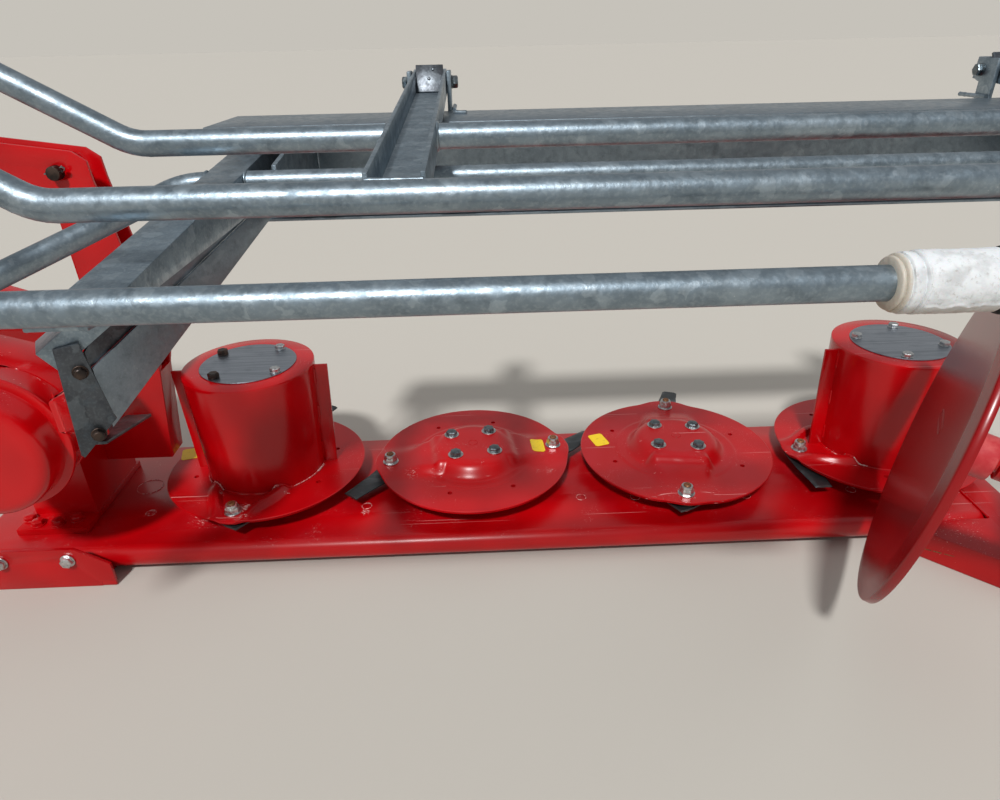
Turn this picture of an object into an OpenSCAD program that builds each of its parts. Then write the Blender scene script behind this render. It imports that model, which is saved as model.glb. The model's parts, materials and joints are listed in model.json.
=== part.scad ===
// Rear-mounted disc mower with a tubular cloth guard, all sizes in millimetres.
// X runs outboard along the cutter bar from the inner disc's axis, Y points towards the tractor,
// Z is the height above the ground. The origin is moved to the middle of the footprint at the end.

/* [Cutter bar] */
// Distance between neighbouring disc axes
disc_pitch = 400; // [396:1:412]
// Diameter of a cutting disc
disc_d = 370; // [350:1:376]
// Height of the disc's flat top above the ground
disc_top = 92; // [90:1:98]
// Thickness of a disc's plate
disc_t = 6; // [5:0.5:8]
// Height of the bar's top face above the ground
bar_top = 52; // [50:1:54]
// Height of the bar's underside, which is the thickness of a skid
skid_t = 10; // [8:1:12]
// Distance from the disc line to the bar's rear edge
bar_rear = 205; // [203:1:215]
// Distance from the disc line to the bar's front edge between discs
bar_front = 138; // [130:1:150]
// Radius of the bar's bulge under each disc
bulge_r = 168; // [160:1:175]
// Length of bar inboard of the inner disc's axis
bar_in = 480; // [470:1:490]
// Length of bar outboard of the outer disc's axis
bar_out = 110; // [100:1:120]

/* [Discs and knives] */
// Radius of the circle of the knife bolts
knife_bolt_circle_r = 161; // [155:1:163]
// Height of the raised middle of a flat disc
dome_h = 27; // [22:1:32]
// Radius of the raised middle at its foot
dome_r = 98; // [90:1:104]
// Width of a knife
knife_w = 44; // [40:1:48]
// Reach of a knife past its bolt
knife_reach = 108; // [100:1:110]
// Thickness of a knife
knife_t = 4; // [3:0.5:5]
// Radius of a knife's bolt
knife_bolt_r = 9; // [8:0.5:10]
// Radius of the spindle that carries a disc
spindle_r = 25; // [22:1:30]

/* [Feed drums on the end discs] */
// Height of a feed drum above its disc
drum_h = 213; // [190:1:230]
// Radius of a feed drum at its top
drum_top_r = 115.8; // [108:0.1:118]
// Radius of a feed drum at its foot
drum_foot_r = 108; // [100:1:112]
// Radius of the bare cover plate
cover_r = 84.6; // [70:0.1:95]
// Thickness of the cover plate
cover_t = 2; // [1.5:0.5:4]
// Width of a feed fin
fin_w = 28; // [20:1:30]
// Thickness of a feed fin
fin_t = 6; // [4:1:8]

/* [Hinge and gear tower] */
// Distance from the inner disc's axis to the bar's hinge axis
hinge_in = 305; // [300:1:310]
// Height of the hinge axis
hinge_h = 300; // [290:1:310]
// Radius of the gear tower's barrel
barrel_r = 80; // [75:1:85]
// Radius of the front hinge pin
hinge_pin_r = 25; // [20:1:30]
// Running clearance of the pins
run_gap = 0.05; // [0.02:0.01:0.1]
// Radius of the belt pulley's round cover
pulley_cover_r = 103; // [98:1:106]
// Radius of the round cover's raised ring
pulley_ring_r = 113; // [108:1:116]

/* [Galvanised guard] */
// Radius of the guard's pipes
pipe_r = 12.5; // [11:0.5:14]
// Radius of a pipe's bend, on its middle line
bend_r = 60; // [50:5:70]
// Width of a folding arm
arm_w = 48; // [44:1:52]
// Height of a folding arm
arm_h = 30; // [26:1:32]
// Wall of the folding arm and the brackets
sheet_t = 4; // [3:0.5:5]
// Width of the guard beam's top flange
beam_flange = 145; // [135:1:155]
// Height of the guard beam's web
beam_web = 144; // [130:1:150]
// Thickness of the guard beam's sheet
beam_t = 4; // [3:0.5:5]
// Width of the support arm
support_w = 44; // [40:1:50]
// Radius of the folding arm's hinge bolt
fold_bolt_r = 7; // [6:0.5:8]

/* [Swath disc] */
// Radius of the swath disc
swath_r = 240; // [225:1:250]
// Thickness of the swath disc
swath_t = 4; // [3:0.5:5]
// Depth of the swath disc from its face to the edge of its turned rim
swath_rim = 15; // [13:1:20]
// Width of the sloping band between the swath disc's face and its rim
swath_band = 28; // [20:1:36]
// Length of the swath disc's hub
swath_hub_l = 80; // [60:1:100]
// Radius of the swath disc's axle
axle_r = 15; // [12:1:18]

/* [Hitch] */
// Distance from the inner disc's axis to the tractor's middle
hitch_in = 1150; // [1140:1:1160]
// Height of the lower hitch pins
hitch_h = 400; // [390:1:410]
// Distance between the shoulders of the lower hitch pins
hitch_spread = 683; // [675:1:690]
// Radius of a lower hitch pin
hitch_pin_r = 11; // [10.5:0.25:11.5]
// Length of a lower hitch pin outside its shoulder
hitch_pin_l = 65; // [60:1:75]
// Height of the top link's hole above the lower pins
mast_h = 460; // [455:1:465]
// Radius of the top link's hole
top_hole_r = 9.7; // [9.5:0.1:10]
// Gap between the top link's two plates
top_gap = 52; // [48:1:56]
// Height of the main beam
beam_h = 110; // [104:1:116]
// Depth of the main beam, front to rear
beam_d = 80; // [74:1:86]

/* [Drive] */
// Distance from the inner disc's axis to the input shaft
input_in = 950; // [940:1:960]
// Radius of the input shaft over its splines
spline_r = 17.45; // [17:0.05:18]
// Number of splines
spline_n = 6; // [6:1:6]
// Length of input shaft outside its housing
input_l = 88; // [80:1:94]

/* [Lift] */
// Radius of the lift cylinder
lift_r = 30; // [27:1:32]
// Radius of the lift cylinder's rod
rod_r = 16; // [14:1:18]
// Distance from the hinge line's inboard side to the cylinder's anchor
anchor_in = 1250; // [1245:1:1255]
// Height of the cylinder's anchor
anchor_h = 900; // [895:1:905]
// Radius of the lever's pin
lever_pin_r = 10.5; // [9:0.5:12]
// Thickness of a lever plate
lever_t = 6; // [5:0.5:8]
// Gap between the lever's two plates
lever_gap = 40; // [38:1:44]

/* [Parking leg] */
// Distance from the inner disc's axis to the parking leg
leg_in = 1400; // [1390:1:1410]
// Width of the parking leg's square tube
leg_w = 50; // [45:1:55]
// Length of the parking leg with its foot
leg_l = 620; // [600:5:640]
// Width of the parking leg's foot
foot_w = 150; // [140:1:160]

/* [Hidden] */
$fn = 48;

// Clearance of what sits still, and of what moves
seat = 0.3;
clear = 5;

// Discs: angle of the knife bolts' line, knife directions at its two ends, and whether it has a drum
disc_count = 4;
LINE = 0;
KNIFE_A = 1;
KNIFE_B = 2;
DRUM = 3;
disc_rows = [
    [-97.7, 140, 60, 1],
    [187.3, 231.3, 40, 0],
    [-97.5, 31, 69.6, 0],
    [188.3, 272, 118, 1]];
disc_x = [for (i = [0:disc_count - 1]) i * disc_pitch];
last_x = disc_x[disc_count - 1];

// Heights of the discs' parts
disc_low = disc_top - disc_t;
hub_low = bar_top + 1 + clear;
knife_top = disc_low - 6;
knife_low = knife_top - knife_t;
drum_top_z = disc_top + drum_h;

// Hinge of the cutter bar, whose axis runs along Y
hinge_x = -hinge_in;
hinge_z = hinge_h;
tower_front = 60;
tower_x = -290;
tower_rear = -105;
boss_rear = tower_front + 6;
guard_front = tower_rear - clear;
guard_rear = guard_front - 87;
cover_rear = guard_rear - 103;
boss_front = boss_rear + beam_d;

// Hitch
hitch_x = -hitch_in;
pin_y = 260;
lug_r = 34;
lug_t = 15;
mast_plate_y = boss_rear - 2;
mast_plate_t = 18;
top_y = 160;
top_z = hitch_h + mast_h;
top_t = 12;

// Input shaft
input_x = -input_in;
input_z = hitch_h + beam_h / 2 + 50;
input_r = 50;
input_front = 202;

// Lift: the lever's pin, the cylinder's anchor and how the rod lies between them
lever_pin = [-220, 0, 649];
anchor = [-anchor_in, 0, anchor_h];
lift_v = lever_pin - anchor;
lift_l = norm(lift_v);
lift_a = atan2(-lift_v[2], lift_v[0]);
barrel_l = 700;
rod_l = 713;
eye_r = 26;
lug_gap = 68;
lug_plate = 10;
anchor_pin_r = 12.5;

// Guard pipes: C lowest at the rear, then B, A and G towards the discs
pipe_c = [-706, 666];
pipe_b = [-621.5, 716];
pipe_a = [-413.4, 733];
pipe_g = [-316, 677];
beam_front = -72;
beam_top = 727;
beam_x = [84, last_x + 100];
loop_dip = [-262, -686, 535];
loop_x = -240;
pipe_g_start = 88;
sleeve_x = 702;
arm_slope = atan2(pipe_a[1] - pipe_b[1], pipe_a[0] - pipe_b[0]);
arm_x = [362, last_x + 15];
fold_y = -40;
fold_z = pipe_b[1] + (fold_y - pipe_b[0]) * tan(arm_slope);
fold_tail = 25;
fold_rise = [115, 75];
fold_left = 100;
fold_right = last_x + 90;
fold_reach = 80;

// Support arm: from the guard beam's web past pipe G to under pipe C, its top flush with G and under C
support_x = 136.5;
support_low = 642;
support_c = pipe_c[1] - pipe_r - seat;
support_rise = (pipe_g[1] + pipe_r - support_c) / (pipe_g[0] - pipe_c[0]);
support_tip = [[pipe_c[0] + 106, support_low], [pipe_c[0] + 51, support_low + 2], [pipe_c[0], support_c - sheet_t]];

// Brace from the bracket up into the support arm, and the plate beside it
brace_low = [-72, -415, 508];
brace_high = [support_x, pipe_g[0] + 20, 664];
brace_h = 30;
brace_turn = 25.4;
plate_turn = 62.8;

// Swath disc: the middle of its face, its direction in plan and its lean
swath_mid = [last_x - 173, -368, 328.5];
swath_turn = -33.7;
swath_tilt = 9.5;
swath_slope = 4;
swath_arm_at = swath_hub_l + 160;
post_at = 235;
post_w = 36;
foot_t = 8;
post_drop = (swath_mid[2] - bar_top - foot_t / 2 - swath_arm_at * sin(swath_tilt)) / cos(swath_tilt);

// Outer shoe's outline in plan, from the bar's rear edge round its outer side to the front
shoe_x = last_x + 186;
shoe_rear = [[last_x - 58, -bar_rear], [last_x + 96, -356], [last_x + 160, -330], [shoe_x - 6, -150]];
shoe_front = [[shoe_x, 30], [shoe_x - 20, 150], [last_x + 110, 210], [last_x + 15, 214]];

// Box of the whole machine at rest, from which the origin is worked out
left_x = hitch_x - hitch_spread / 2 - hitch_pin_l;
right_x = max(shoe_x, fold_right + fold_reach + pipe_r);
rear_y = pipe_c[0] - 25;
front_y = max(pin_y + lug_r, input_front + input_l);
mid_x = (left_x + right_x) / 2;
mid_y = (front_y + rear_y) / 2;

// Helpers
function unit(v) = v / norm(v);

module framed() translate([-mid_x, -mid_y, 0]) children();

module box(low, high) translate(low) cube(high - low);

module along_y(x, z, y) translate([x, y, z]) rotate([-90, 0, 0]) children();

// A round bar from point a to point b
module rod_between(a, b, r) {
    v = b - a;
    translate(a) rotate([0, acos(v[2] / norm(v)), atan2(v[1], v[0])]) cylinder(h = norm(v), r = r);
}

// A pipe along the points, with a round bend at each inner point and a hair-wide seam at each bend's ends
module pipe_run(points, r, bend) {
    n = len(points);
    dirs = [for (i = [0:n - 2]) unit(points[i + 1] - points[i])];
    cut = [for (i = [0:n - 1]) (i == 0 || i == n - 1) ? 0
        : bend * tan(acos(dirs[i - 1] * dirs[i]) / 2)];
    for (i = [0:n - 2])
        rod_between(points[i] + dirs[i] * cut[i], points[i + 1] - dirs[i] * cut[i + 1], r);
    for (i = [1:n - 2]) {
        a = dirs[i - 1];
        b = dirs[i];
        inward = unit(b - (a * b) * a);
        mid = points[i] - a * cut[i] + inward * bend;
        up = cross(-inward, a);
        multmatrix([
            [-inward[0], a[0], up[0], mid[0]],
            [-inward[1], a[1], up[1], mid[1]],
            [-inward[2], a[2], up[2], mid[2]],
            [0, 0, 0, 1]])
            rotate_extrude(angle = acos(a * b)) translate([bend, 0]) circle(r = r);
        seam(points[i] - a * cut[i], a, r);
        seam(points[i] + b * cut[i], b, r);
    }
}

module seam(at, along, r) rod_between(at - along * 1.5, at + along * 1.5, r + 0.06);

// A flat plate standing in an X-Z plane, from y to y + t
module side_plate(points, y, t) translate([0, y + t, 0]) rotate([90, 0, 0]) linear_extrude(t) polygon(points);

// A box bar from a to b, w wide and h high, level across
module bar_between(a, b, w, h) {
    v = b - a;
    turn = atan2(v[1], v[0]);
    rise = asin(v[2] / norm(v));
    translate(a) rotate([0, -rise, turn]) translate([0, -w / 2, -h / 2]) cube([norm(v), w, h]);
}

// Hitch
module hitch_frame() framed() color("firebrick") {
    for (side = [-1, 1]) {
        inner = hitch_x + side * (hitch_spread / 2 - lug_t);
        translate([min(inner, inner + side * lug_t), 0, 0]) difference() {
            union() {
                box([0, boss_front, hitch_h - lug_r], [lug_t, pin_y, hitch_h + lug_r]);
                translate([0, pin_y, hitch_h]) rotate([0, 90, 0]) cylinder(h = lug_t, r = lug_r);
            }
            translate([-1, pin_y, hitch_h]) rotate([0, 90, 0]) cylinder(h = lug_t + 2, r = hitch_pin_r + 3 + seat);
        }
        mast_leg(side);
        translate([hitch_x + side * (top_gap + top_t) / 2 - top_t / 2, 0, 0]) difference() {
            union() {
                box([0, mast_plate_y + mast_plate_t, top_z - 32], [top_t, top_y, top_z + 32]);
                translate([0, top_y, top_z]) rotate([0, 90, 0]) cylinder(h = top_t, r = 32);
            }
            translate([-1, top_y, top_z]) rotate([0, 90, 0]) cylinder(h = top_t + 2, r = top_hole_r);
        }
    }
    box([anchor[0] - 70, mast_plate_y, top_z - 40], [hitch_x + 90, mast_plate_y + mast_plate_t, anchor_h + 36]);
}

// One leg of the A-shaped mast, from the main beam up to the mast plate
module mast_leg(side) {
    foot = hitch_x + side * 60;
    head = hitch_x + side * 52;
    low = hitch_h + beam_h / 2;
    side_plate([[foot, low], [foot + side * 60, low], [head + side * 30, top_z + 30], [head - side * 14, top_z + 30]],
        mast_plate_y + mast_plate_t, 22);
}

module lower_hitch_pins() framed() color("silver")
    for (side = [-1, 1]) translate([hitch_x + side * hitch_spread / 2, pin_y, hitch_h])
        rotate([0, side * 90, 0]) {
            cylinder(h = hitch_pin_l, r = hitch_pin_r);
            translate([0, 0, -lug_t - 14]) cylinder(h = lug_t + 14, r = hitch_pin_r + 3);
            translate([0, 0, -lug_t - 12]) cylinder(h = 12 - seat, r = 20);
        }

module main_beam() framed() color("firebrick") {
    low = hitch_h - beam_h / 2;
    high = hitch_h + beam_h / 2;
    left = hitch_x - hitch_spread / 2 + 5;
    knee = hinge_x - 255;
    drop = unit([knee - hinge_x, hitch_h - hinge_z]);
    across = [-drop[1], drop[0]] * beam_h / 2;
    start = [hinge_x, hinge_z] + drop * 60;
    difference() {
        side_plate([[left, low], [left, high], [knee, high], start - across, start + across, [knee + 20, low]],
            boss_rear, beam_d);
        along_y(hinge_x, hinge_z, boss_rear - 1) cylinder(h = beam_d + 2, r = 76);
    }
}

module hinge_boss() framed() color("firebrick") {
    along_y(hinge_x, hinge_z, boss_rear) cylinder(h = beam_d, r = 75.8);
    along_y(hinge_x, hinge_z, tower_front - 80) cylinder(h = 90, r = hinge_pin_r);
}

// Drive
module belt_guard() framed() color("firebrick") difference() {
    translate([0, guard_front, 0]) rotate([90, 0, 0]) linear_extrude(guard_front - guard_rear)
        belt_outline(pulley_cover_r + 2);
    along_y(hinge_x, hinge_z, guard_rear + 12) cylinder(h = 90, r = 30 + run_gap);
}

// Outline of two round ends joined by straight sides, which lie a hair inside so that they meet cleanly
module belt_outline(r) {
    low = [hinge_x, hinge_z];
    high = [input_x, input_z];
    d = unit(high - low);
    n = [-d[1], d[0]] * (r - 0.02);
    translate(low) circle(r);
    translate(high) circle(r);
    polygon([low + n, high + n, high - n, low - n]);
}

module pulley_cover() framed() color("red") {
    depth = guard_rear - cover_rear;
    along_y(hinge_x, hinge_z, cover_rear) rotate_extrude() polygon([
        [0, 0], [pulley_cover_r - 14, 0], [pulley_cover_r - 6, 4], [pulley_cover_r - 4, 10],
        [pulley_cover_r - 3, depth / 2 - 6], [pulley_ring_r - 3, depth / 2 - 4], [pulley_ring_r, depth / 2],
        [pulley_ring_r - 2, depth / 2 + 6], [pulley_cover_r, depth / 2 + 12], [pulley_cover_r, depth - 0.01],
        [0, depth - 0.01]]);
}

module input_housing() framed() color("firebrick") {
    along_y(input_x, input_z, guard_front) difference() {
        cylinder(h = input_front - guard_front, r = input_r);
        translate([0, 0, input_front - guard_front - 80]) cylinder(h = 90, r = spline_r + run_gap);
    }
    along_y(input_x, input_z, input_front - 14) difference() {
        cylinder(h = 14, r = 64);
        translate([0, 0, -1]) cylinder(h = 16, r = spline_r + 12);
    }
    box([input_x - 46, boss_rear + 4, hitch_h + beam_h / 2], [input_x + 46, boss_front - 4, input_z - 20]);
}

module input_shaft() framed() color("silver") {
    along_y(input_x, input_z, input_front - 78) cylinder(h = 88, r = spline_r);
    along_y(input_x, input_z, input_front + 8) difference() {
        linear_extrude(input_l - 8) difference() {
            circle(spline_r);
            for (i = [0:spline_n - 1]) rotate(i * 360 / spline_n) translate([spline_r - 2.6, -4.3]) square([6, 8.6]);
        }
        translate([0, 0, input_l - 38]) rotate_extrude() translate([spline_r + 1, 0]) circle(r = 4);
    }
}

// Lift
module cylinder_lugs() framed() color("firebrick") {
    for (y = [-lug_gap / 2 - lug_plate, lug_gap / 2]) difference() {
        union() {
            along_y(anchor[0], anchor[2], y) cylinder(h = lug_plate, r = 34);
            box([anchor[0] - 62, y, anchor[2] - 34], [anchor[0], y + lug_plate, anchor[2] + 34]);
        }
        along_y(anchor[0], anchor[2], y - 1) cylinder(h = lug_plate + 2, r = anchor_pin_r + seat);
    }
    box([anchor[0] - 62, -lug_gap / 2, anchor[2] - 34], [anchor[0] - 50, mast_plate_y, anchor[2] + 34]);
    along_y(anchor[0], anchor[2], -lug_gap / 2 - lug_plate - 8)
        cylinder(h = lug_gap + 2 * lug_plate + 16, r = anchor_pin_r);
}

module cylinder_barrel() framed() color("firebrick")
    translate(anchor) rotate([0, lift_a, 0]) difference() {
        union() {
            along_y(0, 0, -lug_gap / 2 + 4) cylinder(h = lug_gap - 8, r = 28);
            rotate([0, 90, 0]) cylinder(h = barrel_l, r = 22);
            translate([42, 0, 0]) rotate([0, 90, 0]) cylinder(h = barrel_l - 42, r = lift_r);
        }
        along_y(0, 0, -lug_gap) cylinder(h = 2 * lug_gap, r = anchor_pin_r + run_gap);
        translate([60, 0, 0]) rotate([0, 90, 0]) cylinder(h = barrel_l, r = rod_r + run_gap);
    }

module cylinder_rod() framed() color("silver")
    translate(anchor) rotate([0, lift_a, 0]) {
        translate([lift_l - rod_l, 0, 0]) rotate([0, 90, 0]) cylinder(h = rod_l - 8, r = rod_r);
        along_y(lift_l, 0, -lever_gap / 2 + 2) cylinder(h = lever_gap - 4, r = eye_r);
    }

module lift_lever() framed() color("red") {
    // Corner points in X and height, from the arm's free end round its top to the foot on the gear tower
    low = disc_top + 36;
    joint = tower_x + seat;
    fin_side = -drum_top_r - fin_w - clear;
    outline = [[-418, 711], [-306, 695], [-192, 679], [-172, 664], [-170, 635], [-155, 530], [-134, 360],
        [fin_side, drum_top_z], [fin_side - 20, low], [joint, low], [joint, hinge_z], [-241, hinge_z + 100], [-239, 475], [-241, 596],
        [-300, 604], [-418, 625], [-440, 650], [-440, 690]];
    for (y = [-lever_gap / 2 - lever_t, lever_gap / 2]) difference() {
        side_plate(outline, y, lever_t);
        along_y(lever_pin[0], lever_pin[2], y - 1) cylinder(h = lever_t + 2, r = lever_pin_r + run_gap);
        along_y(hinge_x, hinge_z, y - 1) cylinder(h = lever_t + 2, r = barrel_r + seat);
    }
    side_plate([[fin_side - 29, low], [fin_side - 20, low], [fin_side, drum_top_z], [fin_side - 9, drum_top_z]], -lever_gap / 2, lever_gap);
}

module lever_pin() framed() color("silver")
    for (side = [0, 1]) mirror([0, side, 0]) along_y(lever_pin[0], lever_pin[2], lever_gap / 2 + 0.5)
        cylinder(h = lever_t + 13.5, r = lever_pin_r);

// Parking leg
module leg_socket() framed() color("firebrick") {
    outer = leg_w + 12;
    rear = boss_rear - outer;
    low = hitch_h - beam_h / 2 - 10;
    high = hitch_h + beam_h / 2 + 40;
    difference() {
        box([-leg_in - outer / 2, rear, low], [-leg_in + outer / 2, boss_rear, high]);
        box([-leg_in - leg_w / 2 - seat, rear + 6 - seat, low - 1], [-leg_in + leg_w / 2 + seat, boss_rear - 6 + seat, high + 1]);
    }
}

module parking_leg() framed() color("firebrick") {
    outer = leg_w + 12;
    rear = boss_rear - outer + 6;
    box([-leg_in - leg_w / 2, rear, 8], [-leg_in + leg_w / 2, rear + leg_w, leg_l]);
    mid = rear + leg_w / 2;
    box([-leg_in - foot_w / 2, mid - foot_w / 2, 0], [-leg_in + foot_w / 2, mid + foot_w / 2, 8]);
}

// Cutter bar
module bar_housing() framed() color("red") {
    left = -bar_in;
    right = last_x + bar_out;
    round_r = (bar_top - skid_t) / 2;
    box([left, -bar_rear + round_r, skid_t], [right, bar_front, bar_top]);
    translate([left, -bar_rear + round_r, skid_t + round_r]) rotate([0, 90, 0]) cylinder(h = right - left, r = round_r);
    for (x = disc_x) {
        translate([x, 0, skid_t]) cylinder(h = bar_top - skid_t, r = bulge_r);
        translate([x, 0, bar_top]) cylinder(h = 1, r = 62);
        translate([x, 0, bar_top]) cylinder(h = disc_low - bar_top - seat, r = spindle_r);
    }
}

module inner_shoe() framed() color("red") {
    plate_y = -bar_rear - 25;
    difference() {
        side_plate([[-bar_in, skid_t - 1], [-216, skid_t - 1], [-216, 46], [-269, 80], [-385, 80], [-bar_in, 80]],
            plate_y, 6);
        for (x = [-282, -393]) along_y(x, 58, plate_y - 1) cylinder(h = 8, r = 6.5);
    }
    for (x = [-450, -337]) box([x - 20, plate_y + 6, 20], [x + 20, -bar_rear - seat, 42]);
    box([-bar_in, plate_y, 0], [-240, 150, skid_t - seat]);
}

module outer_shoe() framed() color("red") {
    points = concat(shoe_rear, shoe_front);
    start = last_x + bar_out + seat;
    difference() {
        union() {
            translate([0, 0, bar_top - 8]) linear_extrude(8) polygon(concat(points, [[start, 190], [start, -bar_rear]]));
            translate([0, 0, 0]) linear_extrude(8) polygon(concat(points, [[start, 190], [start, -bar_rear + 30]]));
            linear_extrude(bar_top) difference() {
                polygon(points);
                offset(delta = -7) polygon(points);
            }
        }
        translate([start - 400, -bar_rear - 1, -1]) cube([400, 600, 100]);
        translate([last_x, 0, -1]) cylinder(h = 100, r = bulge_r + seat);
    }
}

module skid_shoes() framed() color("dimgray")
    for (x = disc_x) difference() {
        union() {
            translate([x, 0, 0]) linear_extrude(skid_t - seat) polygon([
                [-110, -122], [110, -122], [86, 140], [-86, 140]]);
        }
        translate([x - 200, 116, -12]) rotate([18, 0, 0]) cube([400, 60, 12]);
    }

module gear_tower() framed() color("red") {
    rear = -150;
    difference() {
        union() {
            along_y(hinge_x, hinge_z, tower_rear) cylinder(h = tower_front - tower_rear, r = barrel_r);
            box([tower_x - 110, tower_rear, bar_top + 12], [tower_x, tower_front, hinge_z - 40]);
        }
        along_y(hinge_x, hinge_z, tower_front - 85) cylinder(h = 90, r = hinge_pin_r + run_gap);
    }
    along_y(hinge_x, hinge_z, tower_rear - 70) cylinder(h = 80, r = 30);
    box([tower_x - 122, rear, bar_top], [tower_x + 2, tower_front + 10, bar_top + 12]);
}

// Galvanised guard, and what carries it
module arm_carrier() framed() color("red") {
    knee = [-140, -300, 376];
    on_bracket_side() box([8, sheet_t + seat, 404], [38, sheet_t + seat + 10, 496]);
    bar_between([-45, -408.6, 438], knee, 36, 50);
    bar_between(knee + [0, -18, 0], [-140, -lever_gap / 2 - lever_t, 376], 36, 50);
}

// Local X runs along the bracket's plate, local Y = 0 is its outer face
module on_bracket_side() translate([brace_low[0], brace_low[1], 0]) rotate(brace_turn)
    translate([0, -support_w / 2 - seat - sheet_t, 0]) children();

module arm_bracket() framed() color("lightgray") {
    on_bracket_side() difference() {
        side_plate([[3, 388], [6, 384], [51, 426], [49, 432], [37, 526], [11, 524]], 0, sheet_t);
        for (at = [[30, 492], [28, 411]]) along_y(at[0], at[1], -1) cylinder(h = sheet_t + 2, r = 5.5);
    }
    bar_between([-46, -428, 399], [-54, -300, 366], 34, sheet_t);
}

function support_top(y) = support_c + (y - pipe_c[0]) * support_rise;

module support_arm() framed() color("lightgray") {
    root = beam_front - beam_t - seat;
    inner = root - sheet_t;
    translate([support_x - support_w / 2, 0, 0]) rotate([90, 0, 90]) difference() {
        linear_extrude(support_w) polygon(concat([[pipe_c[0], support_c], [root, support_top(root)],
            [root, support_low]], support_tip));
        translate([0, 0, sheet_t]) linear_extrude(support_w - 2 * sheet_t) polygon(concat(
            [[pipe_c[0] - 1, support_top(pipe_c[0] - 1) - sheet_t], [inner, support_top(inner) - sheet_t],
            [inner, support_low - 1]], [for (p = support_tip) p - [1, 1]]));
    }
    bar_between(brace_low, brace_high, support_w, brace_h);
}

module arm_plate() framed() color("lightgray")
    translate([-27.4, -415.8, 492]) rotate([90, 0, plate_turn]) linear_extrude(sheet_t)
        polygon([[0, 0], [2, -79], [378, 132], [378, 150]]);

module rear_pipe_lower() framed() color("lightgray") {
    pipe_run([[sleeve_x + 100, pipe_c[0], pipe_c[1]], [loop_x, pipe_c[0], pipe_c[1]], loop_dip,
        [pipe_g_start, pipe_g[0], pipe_g[1]], [support_x - support_w / 2 - seat, pipe_g[0], pipe_g[1]]],
        pipe_r, bend_r - 12);
}

module rear_pipe_upper() framed() color("lightgray")
    rod_between([support_x + support_w / 2 + seat, pipe_g[0], pipe_g[1]], [beam_x[1], pipe_g[0], pipe_g[1]], pipe_r);

module pipe_sleeve() framed() color("white") translate([sleeve_x, pipe_c[0], pipe_c[1]]) rotate([0, 90, 0])
    difference() {
        union() {
            cylinder(h = 9, r = 20);
            translate([0, 0, 9]) cylinder(h = 7, r = 25);
            translate([0, 0, 16]) cylinder(h = 61, r = 22);
        }
        translate([0, 0, -1]) cylinder(h = 90, r = pipe_r + seat);
    }

module sleeve_cap() framed() color("black") translate([sleeve_x + 77 + seat, pipe_c[0], pipe_c[1]])
    rotate([0, 90, 0]) difference() {
        cylinder(h = 40, r = 24);
        translate([0, 0, -1]) cylinder(h = 24, r = pipe_r + seat);
    }

module guard_beam() framed() color("lightgray") {
    low = beam_top - beam_web;
    box([beam_x[0], beam_front - beam_flange, beam_top - beam_t], [beam_x[1], beam_front, beam_top]);
    box([beam_x[0], beam_front - beam_t, low], [beam_x[1], beam_front, beam_top - beam_t]);
    box([beam_x[0], beam_front - 34, low], [beam_x[1], beam_front - beam_t, low + beam_t]);
}

module beam_posts() framed() color("lightgray") {
    x = beam_x[1] - 8;
    side = [[pipe_g[0] + pipe_r + 1, pipe_g[1] - 20], [beam_front - beam_t - seat, pipe_g[1] - 60],
        [beam_front - beam_t - seat, beam_top - beam_t - seat], [pipe_g[0] + pipe_r + 1, pipe_g[1] + 16]];
    for (at = [185, x]) translate([at, 0, 0]) rotate([90, 0, 90]) linear_extrude(6) polygon(side);
}

// Plates and bolt on which each folding arm turns
module fold_lugs() framed() color("lightgray") for (x = arm_x) {
    for (side = [-1, 1]) difference() {
        inner = x + side * (arm_w / 2 + 1);
        union() {
            translate([min(inner, inner + side * 6), 0, 0])
                box([0, beam_front + seat, beam_top - 60], [6, fold_y, fold_z + 16]);
            translate([min(inner, inner + side * 6), fold_y, fold_z]) rotate([0, 90, 0]) cylinder(h = 6, r = 16);
        }
    }
    translate([x - arm_w / 2 - 15, fold_y, fold_z]) rotate([0, 90, 0]) cylinder(h = arm_w + 30, r = fold_bolt_r);
}

module fold_arms() framed() color("lightgray") for (x = arm_x) {
    off = pipe_r + seat;
    to_bolt = (fold_y - pipe_b[0] - off) / cos(arm_slope);
    length = to_bolt + fold_tail / cos(arm_slope);
    translate([x, pipe_b[0] + off, pipe_b[1] + off * tan(arm_slope)]) rotate([arm_slope, 0, 0]) difference() {
        translate([-arm_w / 2, 0, -arm_h / 2]) difference() {
            cube([arm_w, length, arm_h]);
            translate([sheet_t, -1, sheet_t]) cube([arm_w - 2 * sheet_t, length - 3, arm_h]);
        }
        translate([-arm_w, to_bolt, 0]) rotate([0, 90, 0]) cylinder(h = 2 * arm_w, r = fold_bolt_r + run_gap);
    }
}

module fold_pipe_a() framed() color("lightgray") {
    y = pipe_a[0];
    z = pipe_a[1];
    gap = arm_w / 2 + seat;
    mid = (y + pipe_b[0]) / 2;
    left = fold_left - 215;
    right = fold_right + fold_reach;
    pipe_run([[arm_x[0] - gap, y, z], [fold_left - 15, y, z], [left, y, z + fold_rise[0]], [left, mid, z + fold_rise[0]]],
        pipe_r, bend_r);
    rod_between([arm_x[0] + gap, y, z], [arm_x[1] - gap, y, z], pipe_r);
    pipe_run([[arm_x[1] + gap, y, z], [fold_right, y, z], [right, y, z + fold_rise[1]], [right, mid, z + fold_rise[1]]],
        pipe_r, bend_r - 10);
}

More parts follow.
